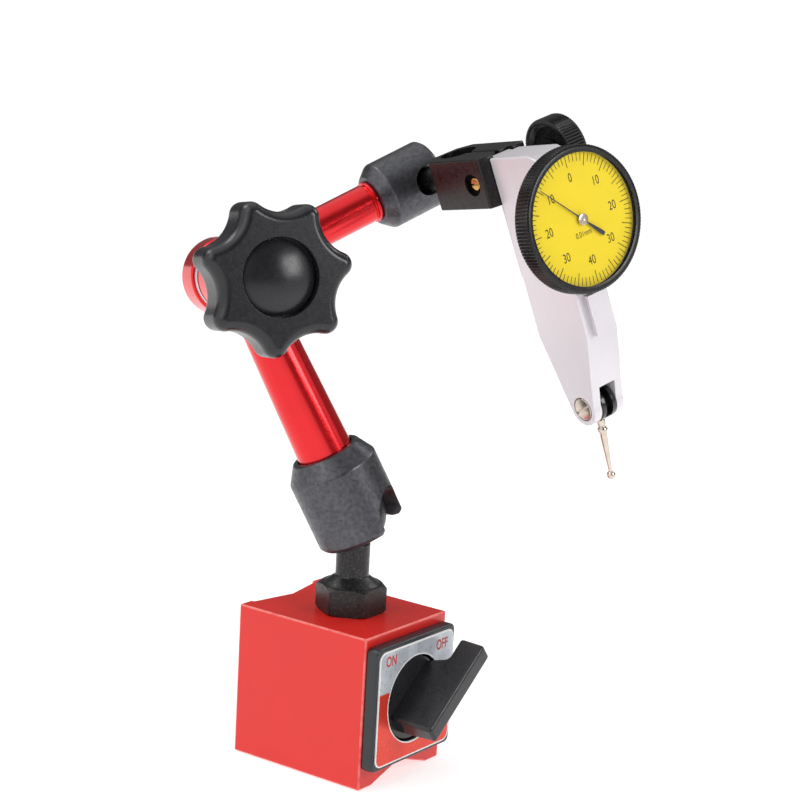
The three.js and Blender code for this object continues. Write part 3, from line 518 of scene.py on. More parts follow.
# ---- Magnet block and switch --------------------------------------------------------------------
HALF_WIDTH, HALF_DEPTH, BLOCK_HEIGHT = 15, 18, 35
FOOT_V_HALF, FOOT_V_RISE = 10.3, 3.4
REAR_V_HALF, REAR_V_EDGE, REAR_V_BOTTOM = 11, 17.2, 15
ROTOR_BORE, ROTOR_BORE_END = 11, 12.5
STUD_BORE, STUD_BORE_END, STUD_Y = 4.1, 30.6, -2
PLATE_SCREWS = ((-11.6, SWITCH_HEIGHT - 10.6), (11.6, SWITCH_HEIGHT + 10.6))
CUT = 1  # how far a cutting tool reaches past a surface
SECTION = [
    (-HALF_WIDTH, 0), (-FOOT_V_HALF, 0), (0, FOOT_V_RISE), (FOOT_V_HALF, 0), (HALF_WIDTH, 0),
    (HALF_WIDTH, BLOCK_HEIGHT), (-HALF_WIDTH, BLOCK_HEIGHT),
]
REAR_V = [
    (-REAR_V_HALF, HALF_DEPTH + CUT), (-REAR_V_HALF, REAR_V_EDGE), (0, REAR_V_BOTTOM),
    (REAR_V_HALF, REAR_V_EDGE), (REAR_V_HALF, HALF_DEPTH + CUT),
]
HIGHLIGHT_EDGE_AREA = 8e-6  # square metres: leaning faces of the block below this size get the painted edge highlight

block = along_y(prism("magnet_block", SECTION, -HALF_DEPTH, HALF_DEPTH))
combine(block, [prism("tool", REAR_V, -CUT, BLOCK_HEIGHT + CUT)])
soften(block, 0.6, 4, 25)
combine(block, [
    rod_y(ROTOR_BORE, -HALF_DEPTH - CUT, ROTOR_BORE_END, 0, SWITCH_HEIGHT, 96),
    rod_z(STUD_BORE, STUD_BORE_END, BLOCK_HEIGHT + CUT, 0, STUD_Y),
    *[rod_y(1.3, -HALF_DEPTH - CUT, -12.7, x, z, 16) for x, z in PLATE_SCREWS],
])
finish(block, "magnet_block", BASE, "base", RED_PAINT, ["pole_left", "pole_right", "pole_separator"])
# The block's small bevel faces are marked for the painted edge highlight in RED_PAINT.
highlight_mark = block.data.color_attributes.new("edge", "FLOAT_COLOR", "CORNER")
for face in block.data.polygons:
    on_highlight_edge = face.area < HIGHLIGHT_EDGE_AREA and sum(abs(c) > 0.1 for c in face.normal) > 1
    for corner in face.loop_indices:
        highlight_mark.data[corner].color = (on_highlight_edge, on_highlight_edge, on_highlight_edge, 1)


def panel(width, height, corner, front, back, opening):
    """Panel with round corners on the block's front, with a round opening for the handle."""
    outline = [(x, y + SWITCH_HEIGHT) for x, y in rounded_rectangle(width, height, corner)]
    made = along_y(prism("tool", outline, front, back))
    return combine(made, [rod_y(opening, PLATE_FACE - CUT, back + CUT, 0, SWITCH_HEIGHT, 96)])


plate = panel(29.3, 28.4, 1.5, PLATE_FACE, -HALF_DEPTH, 10)
soften(plate, 0.6, 4, 40)
combine(plate, [
    *[rod_y(2.5, PLATE_FACE - CUT, -19.3, x, z, 24) for x, z in PLATE_SCREWS],
    *[rod_y(1.4, PLATE_FACE - CUT, -HALF_DEPTH + CUT, x, z, 16) for x, z in PLATE_SCREWS],
])
finish(plate, "switch_plate_moulding", BASE, "base", PLATE_PLASTIC, ["switch_plate"])

border = panel(27.5, 26.6, 2, PLATE_FACE - 0.27, PLATE_FACE, 10)
finish(border, "label_border", BASE, "base", WHITE_PRINT, ["switch_label"])
field = panel(26.8, 25.9, 1.7, PLATE_FACE - 0.3, PLATE_FACE - 0.2, 10.3)
finish(field, "label_field", BASE, "base", SILVER_PRINT)


def lettering(name, words, size, narrow=0.7, depth=0.02, bold=0.0):
    """Raised print from (text, x, y) in a plane, as one mesh."""
    meshes = []
    for text, x, y in words:
        curve = bpy.data.curves.new("text", "FONT")
        curve.body = text
        curve.size = size
        curve.align_x = "CENTER"
        curve.align_y = "CENTER"
        curve.extrude = depth / 2
        curve.offset = bold
        curve.resolution_u = 6
        holder = new_object("text", curve)
        bpy.context.view_layer.update()
        mesh = bpy.data.meshes.new_from_object(holder.evaluated_get(bpy.context.evaluated_depsgraph_get()))
        bpy.data.objects.remove(holder)
        mesh.transform(Matrix.Translation((x, y, 0)) @ Matrix.Diagonal((narrow, 1, 1, 1)))
        meshes.append(mesh)
    bm = bmesh.new()
    for mesh in meshes:
        bm.from_mesh(mesh)
    bmesh.ops.remove_doubles(bm, verts=bm.verts, dist=1e-5)
    out = bpy.data.meshes.new(name)
    bm.to_mesh(out)
    bm.free()
    return new_object(name, out)


words = lettering("switch_words", [("ON", -9.7, 10.8), ("OFF", 9.3, 10.4)], 3.3, 0.74, bold=0.09)
shift(words, 0, SWITCH_HEIGHT, 0.3)
finish(words, "switch_words", SWITCH_FACE, "base", RED_PRINT, smooth=20)

# At rest the lever points up and to the right. Its frame's X runs along it, and its Z out of the plate.
POINTING = rad(38.5)
SWITCH = frame_of(
    BASE_AT + Vector((0, PLATE_FACE, SWITCH_HEIGHT)) * MM,
    FRONT,
    Vector((math.cos(POINTING), 0, math.sin(POINTING))),
)
BAR_SECTION = [(-2.9, -1), (2.9, -1), (2.15, 10.2), (-2.15, 10.2)]
BAR_BACK, BAR_TIP = -8.1, 16.5
bar = along_x(prism("tool", BAR_SECTION, BAR_BACK, BAR_TIP))
under = along_y(prism("tool", [(7.6, -3), (10.6, 4), (20, 4), (20, -3)], -10, 10))
combine(bar, [under])
soften(bar, 0.8, 5, 30)
hub = lathe("tool", rounded([(0, -2.6), (9.6, -2.6), (9.6, -0.4), (0, -0.4)], 0.25), 96)
combine(hub, [bar], "UNION")
combine(hub, [rod(4.1, -3, -1.4, 48)])
finish(hub, "switch_lever", SWITCH, "switch", BLACK_PLASTIC, ["switch_handle"])

# ---- Ball stud and lower joint ------------------------------------------------------------------
HEX_ACROSS, HEX_LOW, HEX_TOP = 14, BLOCK_HEIGHT, 41.4
LOWER_BALL_RADIUS = 7
corner_radius = HEX_ACROSS / math.sqrt(3)
hexagon = prism("tool", [
    (corner_radius * math.cos(rad(60 * i)), corner_radius * math.sin(rad(60 * i))) for i in range(6)
], HEX_LOW, HEX_TOP)
chamfer = lathe("tool", [
    (0, HEX_LOW), (7.3, HEX_LOW), (8.3, 35.7), (8.3, 40.5), (6.9, HEX_TOP), (0, HEX_TOP),
], 96)
combine(hexagon, [chamfer], "INTERSECT")
soften(hexagon, 0.15, 2, 20)
stem = lathe("tool", rounded([
    (0, 30.9), (3.7, 30.9), (3.7, 41.2), (6.4, 41.2), (6.4, HEX_TOP), (3.8, 43.3), (3.8, 50.9), (2.4, 50.9),
    (2.4, 60.5), (0, 60.5),
], 0.3), 72)
combine(hexagon, [stem], "UNION")
finish(hexagon, "hex_stud", STUD, "base", BLACK_OXIDE, ["ball_stud"])


def bored_ball(radius, bore, flat, end):
    """Ball with a flat below and a bore from the flat up to its end."""
    start = math.degrees(math.asin(flat / radius))
    profile = [(0, end), (bore, end), (bore, flat), *arc(0, 0, radius, start, 90, 28)]
    profile[-1] = (0, radius)
    return lathe("ball", profile, 72)


lower_ball = bored_ball(LOWER_BALL_RADIUS, 2.7, -5.8, 3.9)
finish(lower_ball, "lower_ball_turned", BALL, "lower_ball_body", BLACK_OXIDE, ["lower_ball"])


def cup(ball, mouth, radius, lip, outside, slot_half, slot_length, slot_centre, slot_turn):
    """Joint cup open at its lip, with a round socket over the ball and a slot with a round end for the stud.

    outside is the profile from the socket round to the shoulder, before the cup's full radius."""
    socket = ball + 0.3
    start = math.degrees(math.asin(mouth / socket))
    slopes = [rad(start * (1 - i / 10)) for i in range(11)]
    inside = [(socket * math.cos(slope), -socket * math.sin(slope)) for slope in slopes]
    rim = (math.sqrt(socket ** 2 - mouth ** 2) + 1.2, lip)
    outer = rounded([inside[-1], *outside, (radius, lip + 1), (radius - 0.9, lip), rim, inside[0]], 0.4, 4,
                    keep=(0, 1, 2, 3))
    body = lathe("cup", [*inside[:-1], *outer], 120)
    slot = cuboid(0, slot_length, -slot_half, slot_half, lip - 2, slot_centre)
    round_end = shift(turn(rod(slot_half, 0, slot_length, 96), rad(90), "Y"), z=slot_centre)
    combine(slot, [round_end], "UNION")
    return soften(combine(body, [turn(slot, slot_turn, "Z")]), 0.22, 2, 50)


lower_shoulder = [(7.3, 9.3), (6.62, 9.3), (6.62, 16.5), (7.75, 16.5), (10.3, 12.4)]
lower_cup = cup(LOWER_BALL_RADIUS, mouth=2.8, radius=10.3, lip=-4.5, outside=lower_shoulder,
                slot_half=5.9, slot_length=14, slot_centre=-1.7, slot_turn=rad(44))
finish(lower_cup, "lower_joint_cup", LOWER, "lower_arm_body", BLACKENED, ["lower_cup"])

# ---- Arms ---------------------------------------------------------------------------------------
BOLT_HOLE, BOLT_HOLE_REACH = 4.2, 20
UPPER_HEAD_FRONT = -7.6


def arm(profile, radius, back, front, place, bore, length):
    """Tube with the elbow's round head, drilled for the draw bolt and along the tube for its push rod."""
    tube = lathe("arm", profile, 96)
    head = lathe("tool", rounded([(0, back), (radius, back), (radius, front), (0, front)], 0.7, 5), 96)
    to_arm = place.inverted() @ KNOB
    combine(tube, [moved(head, to_arm)], "UNION")
    bolt_hole = moved(rod(BOLT_HOLE, -BOLT_HOLE_REACH, BOLT_HOLE_REACH, 72), to_arm)
    return combine(tube, [bolt_hole, rod(bore, 0, length, 48)])


lower_profile = [
    (0, 9.6), (6.32, 9.6), (6.32, 16.6), (5.45, 48), (5.45, LOWER_LENGTH - 5), (0, LOWER_LENGTH - 5),
]
lower_arm = arm(rounded(lower_profile, 0.2), radius=8.3, back=-5.5, front=6, place=LOWER, bore=3,
                length=LOWER_LENGTH)
finish(lower_arm, "lower_arm_tube", LOWER, "lower_arm_body", RED_ANODISED, ["lower_arm"])
upper_profile = [
    (0, 5), (4.55, 5), (4.55, 37.7), (4.25, 37.9), (4.25, 38.25), (4.9, 38.35), (4.9, 39.1), (4.2, 39.15),
    (4.2, 43.9), (0, 43.9),
]
upper_arm = arm(rounded(upper_profile, 0.12), radius=8.9, back=-14.9, front=UPPER_HEAD_FRONT, place=UPPER,
                bore=2.2, length=45.3)
combine(upper_arm, [moved(rod(8.7, UPPER_HEAD_FRONT, 0, 96), UPPER.inverted() @ KNOB)])
finish(upper_arm, "upper_arm_tube", UPPER, "upper_arm_body", RED_ANODISED, ["upper_arm"])

WASHERS = (("elbow_washer", 4.3, 8.4, -7.45, -5.65), ("knob_washer", 3.2, 7.2, 6.1, 6.6))
for name, inner, outer, low, high in WASHERS:
    section = [(inner, low), (outer, low), (outer, high), (inner, high), (inner, low)]
    ring = lathe("ring", rounded(section, 0.15), 96)
    finish(ring, name + "_turned", KNOB, "lower_arm_body", BRIGHT_STEEL, [name])

# ---- Clamping knob ------------------------------------------------------------------------------
LOBES, TIP_RADIUS, TIP_ROUND, VALLEY = 7, 17.0, 2.7, 13.7
KNOB_BACK, KNOB_FACE = 13.4, 24.6
RIM_IN, RIM_UP = 2.3, 3
LOBE_STEPS = 12
CAP_RADIUS, DOME, DOME_TOP = 8.0, 18.0, 24.78
half_lobe = math.pi / LOBES
tip_centre = TIP_RADIUS - TIP_ROUND
# A scallop's arc touches the round tips on both sides of it and comes as far in as the valley.
double_reach = 2 * tip_centre * math.cos(half_lobe)
SCALLOP = ((tip_centre ** 2 + VALLEY ** 2 - double_reach * VALLEY - TIP_ROUND ** 2)
           / (2 * TIP_ROUND + double_reach - 2 * VALLEY))
valley_centre = VALLEY + SCALLOP
sweep = math.atan2(valley_centre * math.sin(half_lobe), valley_centre * math.cos(half_lobe) - tip_centre)


def lobed_ring(inset, height, steps=LOBE_STEPS):
    """Round tips joined by round scallops, drawn inwards by the inset."""
    ring = []
    for lobe in range(LOBES):
        lobe_turn = 2 * half_lobe * lobe
        for i in range(steps):
            angle = lobe_turn - sweep + 2 * sweep * i / steps
            ring.append((tip_centre * math.cos(lobe_turn) + (TIP_ROUND - inset) * math.cos(angle),
                         tip_centre * math.sin(lobe_turn) + (TIP_ROUND - inset) * math.sin(angle), height))
        valley_turn = lobe_turn + half_lobe
        for i in range(steps):
            angle = valley_turn + math.pi + (sweep - half_lobe) * (1 - 2 * i / steps)
            ring.append((valley_centre * math.cos(valley_turn) + (SCALLOP + inset) * math.cos(angle),
                         valley_centre * math.sin(valley_turn) + (SCALLOP + inset) * math.sin(angle), height))
    return ring


KNOB_STEPS = 2 * LOBE_STEPS * LOBES
RIM_ANGLES = [rad(9 * i) for i in range(11)]
knob_rings = [
    lobed_ring(RIM_IN * (1 - math.sin(phi)), KNOB_BACK + RIM_UP * (1 - math.cos(phi))) for phi in RIM_ANGLES
] + [
    lobed_ring(RIM_IN * (1 - math.cos(phi)), KNOB_FACE - RIM_UP * (1 - math.sin(phi))) for phi in RIM_ANGLES
]
verts = [v for ring in knob_rings for v in ring]
faces = [list(range(KNOB_STEPS))[::-1]]
for ring in range(len(knob_rings) - 1):
    below, above = ring * KNOB_STEPS, (ring + 1) * KNOB_STEPS
    for i in range(KNOB_STEPS):
        j = (i + 1) % KNOB_STEPS
        faces.append([below + i, below + j, above + j, above + i])
faces.append([(len(knob_rings) - 1) * KNOB_STEPS + i for i in range(KNOB_STEPS)])
knob = turn(from_data("knob", verts, faces), rad(10.3), "Z")
combine(knob, [rod(8, 6.9, 16, 96)], "UNION")
recess = [(0, 21.9), (8.5, 21.9), (8.5, 24.4), (8.56, 24.52), (8.7, 24.62), (8.8, 25.6), (0, 25.6)]
combine(knob, [lathe("tool", recess, 96), rod(5, 6, 24.4, 64)])
finish(knob, "lobed_knob", KNOB, "knob_body", KNOB_PLASTIC, ["clamping_knob"])
dome_radii = [CAP_RADIUS * (1 - i / 12) for i in range(13)]
dome = [(radius, DOME_TOP - DOME + math.sqrt(DOME ** 2 - radius ** 2)) for radius in dome_radii]
cap = lathe("cap", [(0, 22.1), (8.03, 22.1), (8.03, dome[0][1] - 0.2), *dome], 96)
finish(cap, "knob_cap_domed", KNOB, "knob_body", KNOB_PLASTIC, ["knob_cap"])

# ---- Upper joint and indicator clamp ------------------------------------------------------------
UPPER_BALL_RADIUS = 5
CLAMP_SCREW = (-21.7, -10.6)
STEM_HOLE, STEM_HOLE_X = 4.1, -32.7
upper_shoulder = [(5.3, 6.5), (4.5, 6.5), (4.5, 11.92), (5.8, 11.92), (7.9, 9.32)]
upper_cup = cup(UPPER_BALL_RADIUS, mouth=2.1, radius=7.9, lip=-4.28, outside=upper_shoulder,
                slot_half=3.4, slot_length=12, slot_centre=0, slot_turn=0)
finish(upper_cup, "upper_joint_cup", SLOT, "upper_arm_body", BLACKENED, ["upper_cup"])
clamp_ball = turn(bored_ball(UPPER_BALL_RADIUS, 2, -4.2, 1.2), rad(180), "X")
finish(clamp_ball, "clamp_ball_turned", NECK, "clamp_ball_body", BLACK_OXIDE, ["clamp_ball"])
clamp_stud = lathe("stud", rounded([
    (0, -0.8), (1.7, -0.8), (1.7, 4.5), (2.8, 4.5), (2.8, 13.29), (2.3, 13.29), (2.3, 14.39), (0, 14.39),
], 0.2), 64)
finish(clamp_stud, "clamp_stud_turned", NECK, "clamp_body", BLACK_ANODISED, ["clamp_stud"])

# Half of the block's section: its back, its side, one dovetail jaw and the slit between the jaws.
JAW_HALF = [
    (-38.2, -3.8), (-35.4, -6.8), (-17.6, -6.8), (-16.75, -4.65), (-16.75, -2.85), (-18.85, -3.6),
    (-18.85, -0.5), (-29.1, -0.5),
]
jaw = along_y(prism("jaw", mirrored(JAW_HALF), -16.35, -5.05))
soften(jaw, 0.35, 3, 25)
combine(jaw, [
    rod_y(STEM_HOLE, -17.5, -4, STEM_HOLE_X, 0, 96),
    rod_z(1.9, -8, 8, *CLAMP_SCREW),
    rod_z(2.5, -8, -5.2, *CLAMP_SCREW),
    rod_x(2.6, -39.2, -37, -10.85, 0),
])
finish(jaw, "clamp_jaw_block", GAUGE, "clamp_body", BLACK_ANODISED, ["clamp_block"])

screw = lathe("screw", rounded([(0, -6.1), (1.5, -6.1), (1.5, 7.3), (0, 7.3)], 0.3), 64)
combine(screw, [cuboid(-2, 2, -0.25, 0.25, -7, -5.6)])
shift(screw, *CLAMP_SCREW)
finish(screw, "clamp_screw_brass", GAUGE, "clamp_screw_body", BRASS, ["clamp_screw"])
hub = lathe("hub", rounded([
    (1.5, 7.1), (2.9, 7.1), (2.9, 16.5), (2, 16.5), (2, 19.7), (0, 19.7), (0, 7.3), (1.5, 7.3), (1.5, 7.1),
], 0.2), 64)
shift(hub, *CLAMP_SCREW)
finish(hub, "clamp_screw_hub", GAUGE, "clamp_screw_body", BLACK_ANODISED)


def knurled(name, low, high, radius, edge, inner, segments, depth):
    """Ring with a fine straight knurl on its rim, between bevelled edges.

    inner is the rest of the profile, from the top edge of the rim round to the bottom one."""
    rim = [(radius - edge, low), (radius - 0.3 * edge, low + 0.35 * edge), (radius, low + edge),
           (radius, high - edge), (radius - 0.3 * edge, high - 0.35 * edge), (radius - edge, high)]
    ripple = [0, 0.3 * depth, depth, depth, 0.3 * depth, 0]
    profile = rim + inner + [rim[0]]
    return lathe(name, profile, segments, ripple + [0] * len(inner) + [0])


clamp_knob = knurled("clamp_knob", 15.72, 20.98, 7.76, 0.45, [
    (6.9, 20.98), (6.6, 20.7), (6.2, 20.6), (2.3, 20.6), (2.3, 16.9), (5.8, 16.9), (6.35, 15.9), (6.5, 15.72),
], 256, 0.32)
shift(clamp_knob, *CLAMP_SCREW)
finish(clamp_knob, "clamp_knob_knurled", GAUGE, "clamp_knob_body", BLACK_ANODISED, ["clamp_knob"],
       smooth=30)

# ---- Indicator body -----------------------------------------------------------------------------
PIVOT_X, PIVOT_Y = -8.25, 42.3
SECTOR_RADIUS, PINION_RADIUS = 36.9, 1.28
CROWN_Y = PIVOT_Y - SECTOR_RADIUS - PINION_RADIUS
BODY_BACK, BODY_HALF, HOLLOW_HALF = -16.5, 4.4, 2.3
COVER_SCREW_X, COVER_SCREWS = -8, {"top": -8.6, "bottom": 30.5}
nose = arc(PIVOT_X, PIVOT_Y, 3.9, -6, 162, 24)
gauge = prism("gauge", [
    (BODY_BACK, -15.65), (-3.5, -15.65), (0, -14.05), (0, 25.65), (-3.3, 37.7), *nose, (BODY_BACK, 25.25),
], -BODY_HALF, BODY_HALF)
soften(gauge, 0.3, 3, 30)
back_rail = along_y(prism("tool", mirrored([(-16, -2.4), (BODY_BACK, -2.4), (-18.5, -3.1)]), -15.6, 12))
front_rail = along_y(prism("tool", mirrored([(-1, -2.25), (0, -2.25), (1.75, -2.85)]), 16.4, 25.6))
for rail in (back_rail, front_rail):
    soften(rail, 0.15, 2, 30)
combine(gauge, [back_rail, front_rail], "UNION")
combine(gauge, [
    cuboid(-20, 3, 37.7, 50, -HOLLOW_HALF, HOLLOW_HALF),
    cuboid(-11.5, -5, 25, 38, -HOLLOW_HALF, HOLLOW_HALF),
    cuboid(-13, -3, -6, 26, -HOLLOW_HALF, HOLLOW_HALF),
    cuboid(-12, -4, 9, 23, 2, 6),
    rod_x(0.7, -13.8, 1, 0, 0, 24),
    rod_z(0.7, -3.4, 3.4, PIVOT_X, CROWN_Y, 24),
    rod_z(1.15, -6, 6, PIVOT_X, PIVOT_Y, 32),
    rod_z(2.8, -6, -3.4, PIVOT_X, PIVOT_Y),
    rod_z(2.8, 3.4, 6, PIVOT_X, PIVOT_Y),
    *[rod_z(1.1, 2.6, 6, COVER_SCREW_X, y, 24) for y in COVER_SCREWS.values()],
])
finish(gauge, "indicator_housing", GAUGE, "indicator", ALUMINIUM, ["indicator_body"])

COVER_LOW, COVER_TOP = 4.42, 5.02
cover = prism("cover", [
    (-15.7, -12.4), (-0.9, -12.4), (-0.9, 26), (-3.1, 34.9), (-12.9, 34.9), (-15.7, 25),
], COVER_LOW, COVER_TOP)
soften(cover, 0.18, 3, 30)
combine(cover, [rod_z(1.1, 3, 6, COVER_SCREW_X, y, 24) for y in COVER_SCREWS.values()])
finish(cover, "side_cover_plate", GAUGE, "indicator", ALUMINIUM, ["side_cover"])


def slotted_screw(head, thick, shank, length, slot, depth):
    """Screw whose head sits from z = 0 up, with its shank below."""
    profile = [(0, -length), (shank, -length), (shank, 0), (head, 0), (head, thick), (0, thick + 0.02)]
    made = lathe("screw", rounded(profile, 0.18, 4), 56)
    return combine(made, [cuboid(-head - 1, head + 1, -slot / 2, slot / 2, thick - depth, thick + 1)])


for place, y in COVER_SCREWS.items():
    node = "cover_screw_" + place
    screw = slotted_screw(head=1.58, thick=0.6, shank=0.8, length=2.2, slot=0.35, depth=0.3)
    shift(turn(screw, rad(35), "Z"), COVER_SCREW_X, y, 5.05)
    finish(screw, node + "_slotted", GAUGE, "indicator", BRIGHT_STEEL, [node])
for side, sign in (("near", -1), ("far", 1)):
    node = "pivot_screw_" + side
    screw = slotted_screw(head=2.5, thick=0.74, shank=0.85, length=3.4, slot=0.5, depth=0.4)
    turn(screw, rad(24), "Z")
    if sign < 0:
        turn(screw, rad(180), "X")
    shift(screw, PIVOT_X, PIVOT_Y, sign * 3.71)
    finish(screw, node + "_slotted", GAUGE, "indicator", CHROME, [node])

# ---- Dial ---------------------------------------------------------------------------------------
DIAL_LOW, DIAL_TOP = 2.67, 3.07
PRINT_HEIGHT, PRINT_DEPTH = 3.075, 0.03
GRADUATIONS, MARK_OUTER, NUMERAL_RADIUS = 80, 14.12, 9.15
LONG_MARK, SHORT_MARK = (11.4, 0.085), (12.35, 0.075)  # inner radius and half width
dial_seat = lathe("seat", rounded([
    (0.8, 0.05), (14.4, 0.05), (14.4, 1.2), (11, 2.3), (0.8, 2.3), (0.8, 0.05),
], 0.2), 120)
combine(dial_seat, [cuboid(-5, 5, -30, -16, 0, 3)])
finish(dial_seat, "dial_seat_turned", FACE, "indicator", ALUMINIUM, ["dial_seat"])

bezel = knurled("bezel", 0.12, 4.5, 15.86, 0.5, [
    (15.1, 4.55), (14.5, 4.52), (14.22, 4.44), (14.22, 4.37), (14.85, 4.33), (14.85, 0.12),
], 520, 0.26)
finish(bezel, "bezel_knurled", FACE, "bezel_body", BLACK_ANODISED, ["bezel"], smooth=30)
dial = lathe("dial", rounded([
    (1, DIAL_LOW), (14.5, DIAL_LOW), (14.5, DIAL_TOP), (1, DIAL_TOP), (1, DIAL_LOW),
], 0.05), 120)
finish(dial, "dial_yellow", FACE, "bezel_body", YELLOW, ["dial_plate"])

marks = bmesh.new()
for i in range(GRADUATIONS):
    inner, half = SHORT_MARK if i % 5 else LONG_MARK
    spoke = Matrix.Rotation(2 * math.pi * i / GRADUATIONS, 4, "Z")
    middle = Matrix.Translation((0, (MARK_OUTER + inner) / 2, PRINT_HEIGHT))
    size = Matrix.Diagonal((2 * half, MARK_OUTER - inner, PRINT_DEPTH, 1))
    bmesh.ops.create_cube(marks, size=1, matrix=spoke @ middle @ size)
mesh = bpy.data.meshes.new("marks")
marks.to_mesh(mesh)
marks.free()
finish(new_object("marks", mesh), "dial_graduations", FACE, "bezel_body", INK, smooth=20)
figures = [
    (text, NUMERAL_RADIUS * math.sin(rad(45 * i)), NUMERAL_RADIUS * math.cos(rad(45 * i)))
    for i, text in enumerate(("0", "10", "20", "30", "40", "30", "20", "10"))
]
numerals = shift(lettering("numerals", figures, 2.8, 0.74, PRINT_DEPTH), z=PRINT_HEIGHT)
finish(numerals, "dial_numerals", FACE, "bezel_body", INK, smooth=20)
unit = shift(lettering("unit", [("0.01mm", -0.3, -3.1)], 1.8, 0.78, PRINT_DEPTH), z=PRINT_HEIGHT)
finish(unit, "dial_unit", FACE, "bezel_body", INK, smooth=20)

NEEDLE_TURN = rad(180 - 46.1)
NEEDLE_HALF = [(-6.7, -0.42), (-6.2, -0.5), (-3.6, -0.36), (-1.2, -0.16), (2, -0.15), (12.9, -0.07)]
needle = turn(prism("needle", mirrored(NEEDLE_HALF), 3.57, 3.73), NEEDLE_TURN, "Z")
soften(needle, 0.03, 2, 30)
finish(needle, "pointer_needle", FACE, "pointer_body", NEEDLE, ["pointer"])
boss = lathe("boss", rounded([
    (0, 3.5), (1.25, 3.5), (1.25, 3.9), (0.28, 3.93), (0.26, 3.86), (0, 3.86),
], 0.08, 3), 64)
finish(boss, "pointer_boss", FACE, "pointer_body", CHROME)
crystal = lathe("crystal", [
    (0, 4.05), (14.55, 4.05), (14.55, 4.22), (12, 4.245), (8, 4.265), (4, 4.28), (0, 4.285),
], 120)
finish(crystal, "crystal_clear", FACE, "bezel_body", CRYSTAL, ["crystal"])

# ---- Stylus -------------------------------------------------------------------------------------
CARRIER_RADIUS, CARRIER_HALF, GAP_HALF = 4, 2, 0.95
TIP = 17.75
# Two cheeks with a gap between them for the sensing lever, joined by a bridge around the stylus.
carrier = lathe("carrier", rounded([
    (0, -CARRIER_HALF), (CARRIER_RADIUS, -CARRIER_HALF), (CARRIER_RADIUS, CARRIER_HALF), (0, CARRIER_HALF),
], 0.25, 3), 96)
turn(carrier, rad(90), "Y")
wedge = [(0, 0)] + [(6.5 * math.sin(rad(a)), 6.5 * math.cos(rad(a))) for a in range(-45, 46, 10)]
bridge = along_x(prism("tool", wedge, -1.2, 1.2))
combine(bridge, [rod_x(2.9, -3, 3, segments=64)])
gap = rod_x(6, -GAP_HALF, GAP_HALF, segments=64)
combine(gap, [bridge])
combine(carrier, [gap, rod_x(1.15, -3, 3, segments=32), rod(0.75, 3, 6, 24)])
finish(carrier, "stylus_carrier_block", STYLUS, "stylus_body", CARRIER_BLACK, ["stylus_carrier"])

shank = rounded([
    (0, 3.2), (0.6, 3.2), (0.6, 4.1), (0.95, 4.1), (0.95, 5.45), (0.72, 5.7), (1.1, 6.2), (1.2, 6.6),
    (1.0, 7.1), (0.86, 7.6), (0.42, TIP - 1.6), (0.36, TIP - 0.93),
], 0.15, 3)
ball_end = [(math.sin(rad(a)), TIP - math.cos(rad(a))) for a in range(24, 180, 12)]
stylus = lathe("stylus", [*shank, *ball_end, (0, TIP + 1)], 48)
finish(stylus, "stylus_chromed", STYLUS, "stylus_body", CHROME, ["stylus"])

# ---- Pieces kept from the CAD -------------------------------------------------------------------
for node in ("lower_pressure_pad", "lower_push_rod", "upper_pressure_pad", "upper_push_rod", "draw_bolt",
             "lower_cone", "upper_cone", "handle_spindle", "plate_screw_left", "plate_screw_right",
             "pointer_arbor"):
    dress(node, BRIGHT_STEEL)
dress("sensing_lever", DARK_STEEL)
dress("rotor_carrier", MACHINED)
dress("rotor_magnet", FERRITE)
dress("knob_insert", BRASS)
dress("crown_gear", BRASS)

# ---- Stage, light and camera --------------------------------------------------------------------
scene = bpy.context.scene
scene.view_settings.view_transform = "Standard"
floor_mesh = bpy.data.meshes.new("floor")
bm = bmesh.new()
bmesh.ops.create_grid(bm, x_segments=8, y_segments=8, size=30)
bm.to_mesh(floor_mesh)
bm.free()
floor = new_object("floor", floor_mesh)
floor.location = (0, 0, -0.0002)  # just below the foot, so that the two don't flicker
FLOOR = surface("pale_floor", (0.55, 0.55, 0.55), 0.9, shade=0.995, patch=2)
floor_shader = FLOOR.node_tree.nodes["Principled BSDF"]
floor_shader.inputs["Emission Color"].default_value = (1, 1, 1, 1)
floor_shader.inputs["Emission Strength"].default_value = 0.66
floor_mesh.materials.append(FLOOR)

world = bpy.data.worlds.new("studio")
scene.world = world
world.use_nodes = True
world_nodes, world_links = world.node_tree.nodes, world.node_tree.links
direction = world_nodes.new("ShaderNodeTexCoord").outputs["Generated"]
DIM = 0.12  # the surroundings away from the two glows


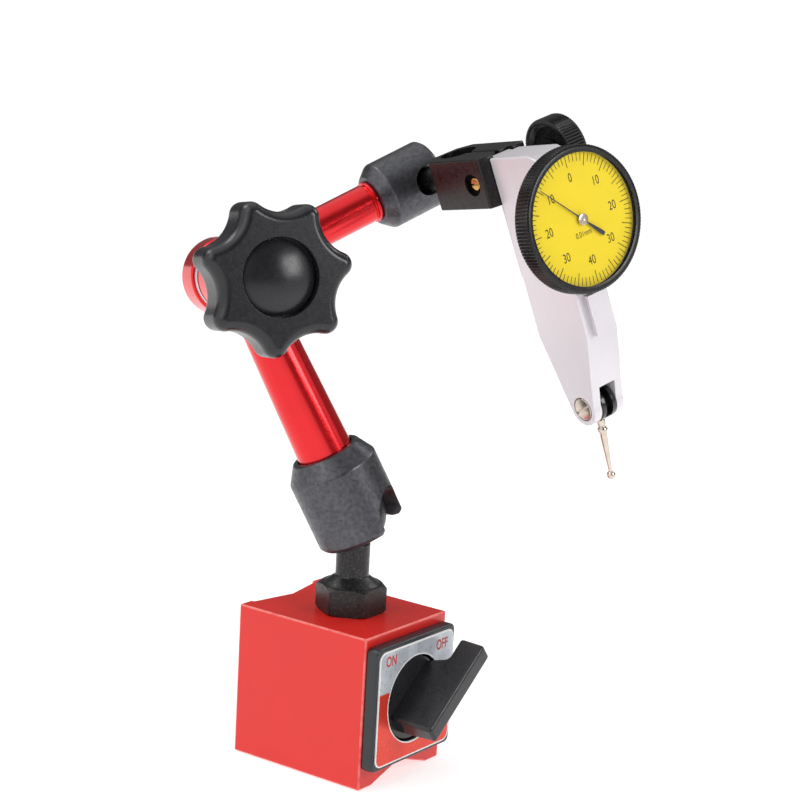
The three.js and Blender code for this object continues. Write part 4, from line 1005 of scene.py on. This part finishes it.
def glow(towards, narrow, wide, strength, add_to):
    """A soft bright patch of the surroundings in one direction, added to a number or another patch.

    It's full within the narrow angle and fades out at the wide one, both in degrees."""
    dot = world_nodes.new("ShaderNodeVectorMath")
    dot.operation = "DOT_PRODUCT"
    world_links.new(direction, dot.inputs[0])
    dot.inputs[1].default_value = Vector(towards).normalized()
    span = world_nodes.new("ShaderNodeMapRange")
    span.interpolation_type = "SMOOTHSTEP"
    span.inputs["From Min"].default_value = math.cos(rad(wide))
    span.inputs["From Max"].default_value = math.cos(rad(narrow))
    span.inputs["To Max"].default_value = strength
    world_links.new(dot.outputs["Value"], span.inputs["Value"])
    total = world_nodes.new("ShaderNodeMath")
    total.operation = "ADD"
    world_links.new(span.outputs["Result"], total.inputs[0])
    if isinstance(add_to, float):
        total.inputs[1].default_value = add_to
    else:
        world_links.new(add_to, total.inputs[1])
    return total.outputs[0]


light = glow((-1, 0.35, 0.45), 18, 60, 1.05, DIM)
light = glow((0.1, 0.2, 1), 15, 55, 0.85, light)
world_nodes["Background"].inputs["Color"].default_value = (1, 1, 1, 1)
world_links.new(light, world_nodes["Background"].inputs["Strength"])

TARGET = Vector((0, 0, 0.08))
SOFTBOX_AT = ELBOW + Vector((0.12, -0.93, 0.35)) * 0.5


def lamp(name, at, size, power):
    """Rectangular lamp that points at the object's middle."""
    light = bpy.data.lights.new(name, "AREA")
    light.shape = "RECTANGLE"
    light.size, light.size_y = size
    light.energy = power
    obj = bpy.data.objects.new(name, light)
    scene.collection.objects.link(obj)
    obj.location = at
    obj.rotation_euler = (TARGET - Vector(at)).to_track_quat("-Z", "Y").to_euler()


lamp("key", (-0.62, 0.1, 0.55), (0.3, 0.5), 0.5)
lamp("fill", (0.35, -0.8, 0.35), (0.3, 0.5), 0.2)
lamp("softbox", SOFTBOX_AT, (0.2, 0.2), 0.85)
lamp("edge_left", (-0.12, 0.34, 0.5), (0.2, 0.2), 0.5)
lamp("edge_right", (0.47, -0.12, 0.38), (0.2, 0.2), 0.5)

camera_data = bpy.data.cameras.new("camera")
camera_data.lens = 100.8
camera_data.sensor_width = 36
camera = bpy.data.objects.new("camera", camera_data)
scene.collection.objects.link(camera)
# The camera's place and its own right, up and back, fitted to the corners of the block.
camera_at = Vector((-0.38793, -0.28443, 0.18722))
camera_right = Vector((0.5936, -0.8030, 0.0538))
camera_up = Vector((0.1360, 0.1659, 0.9767))
camera_back = Vector((-0.7932, -0.5724, 0.2077))
camera_turn = Matrix((camera_right, camera_up, camera_back)).transposed().to_4x4()
camera.matrix_world = Matrix.Translation(camera_at) @ camera_turn
scene.camera = camera
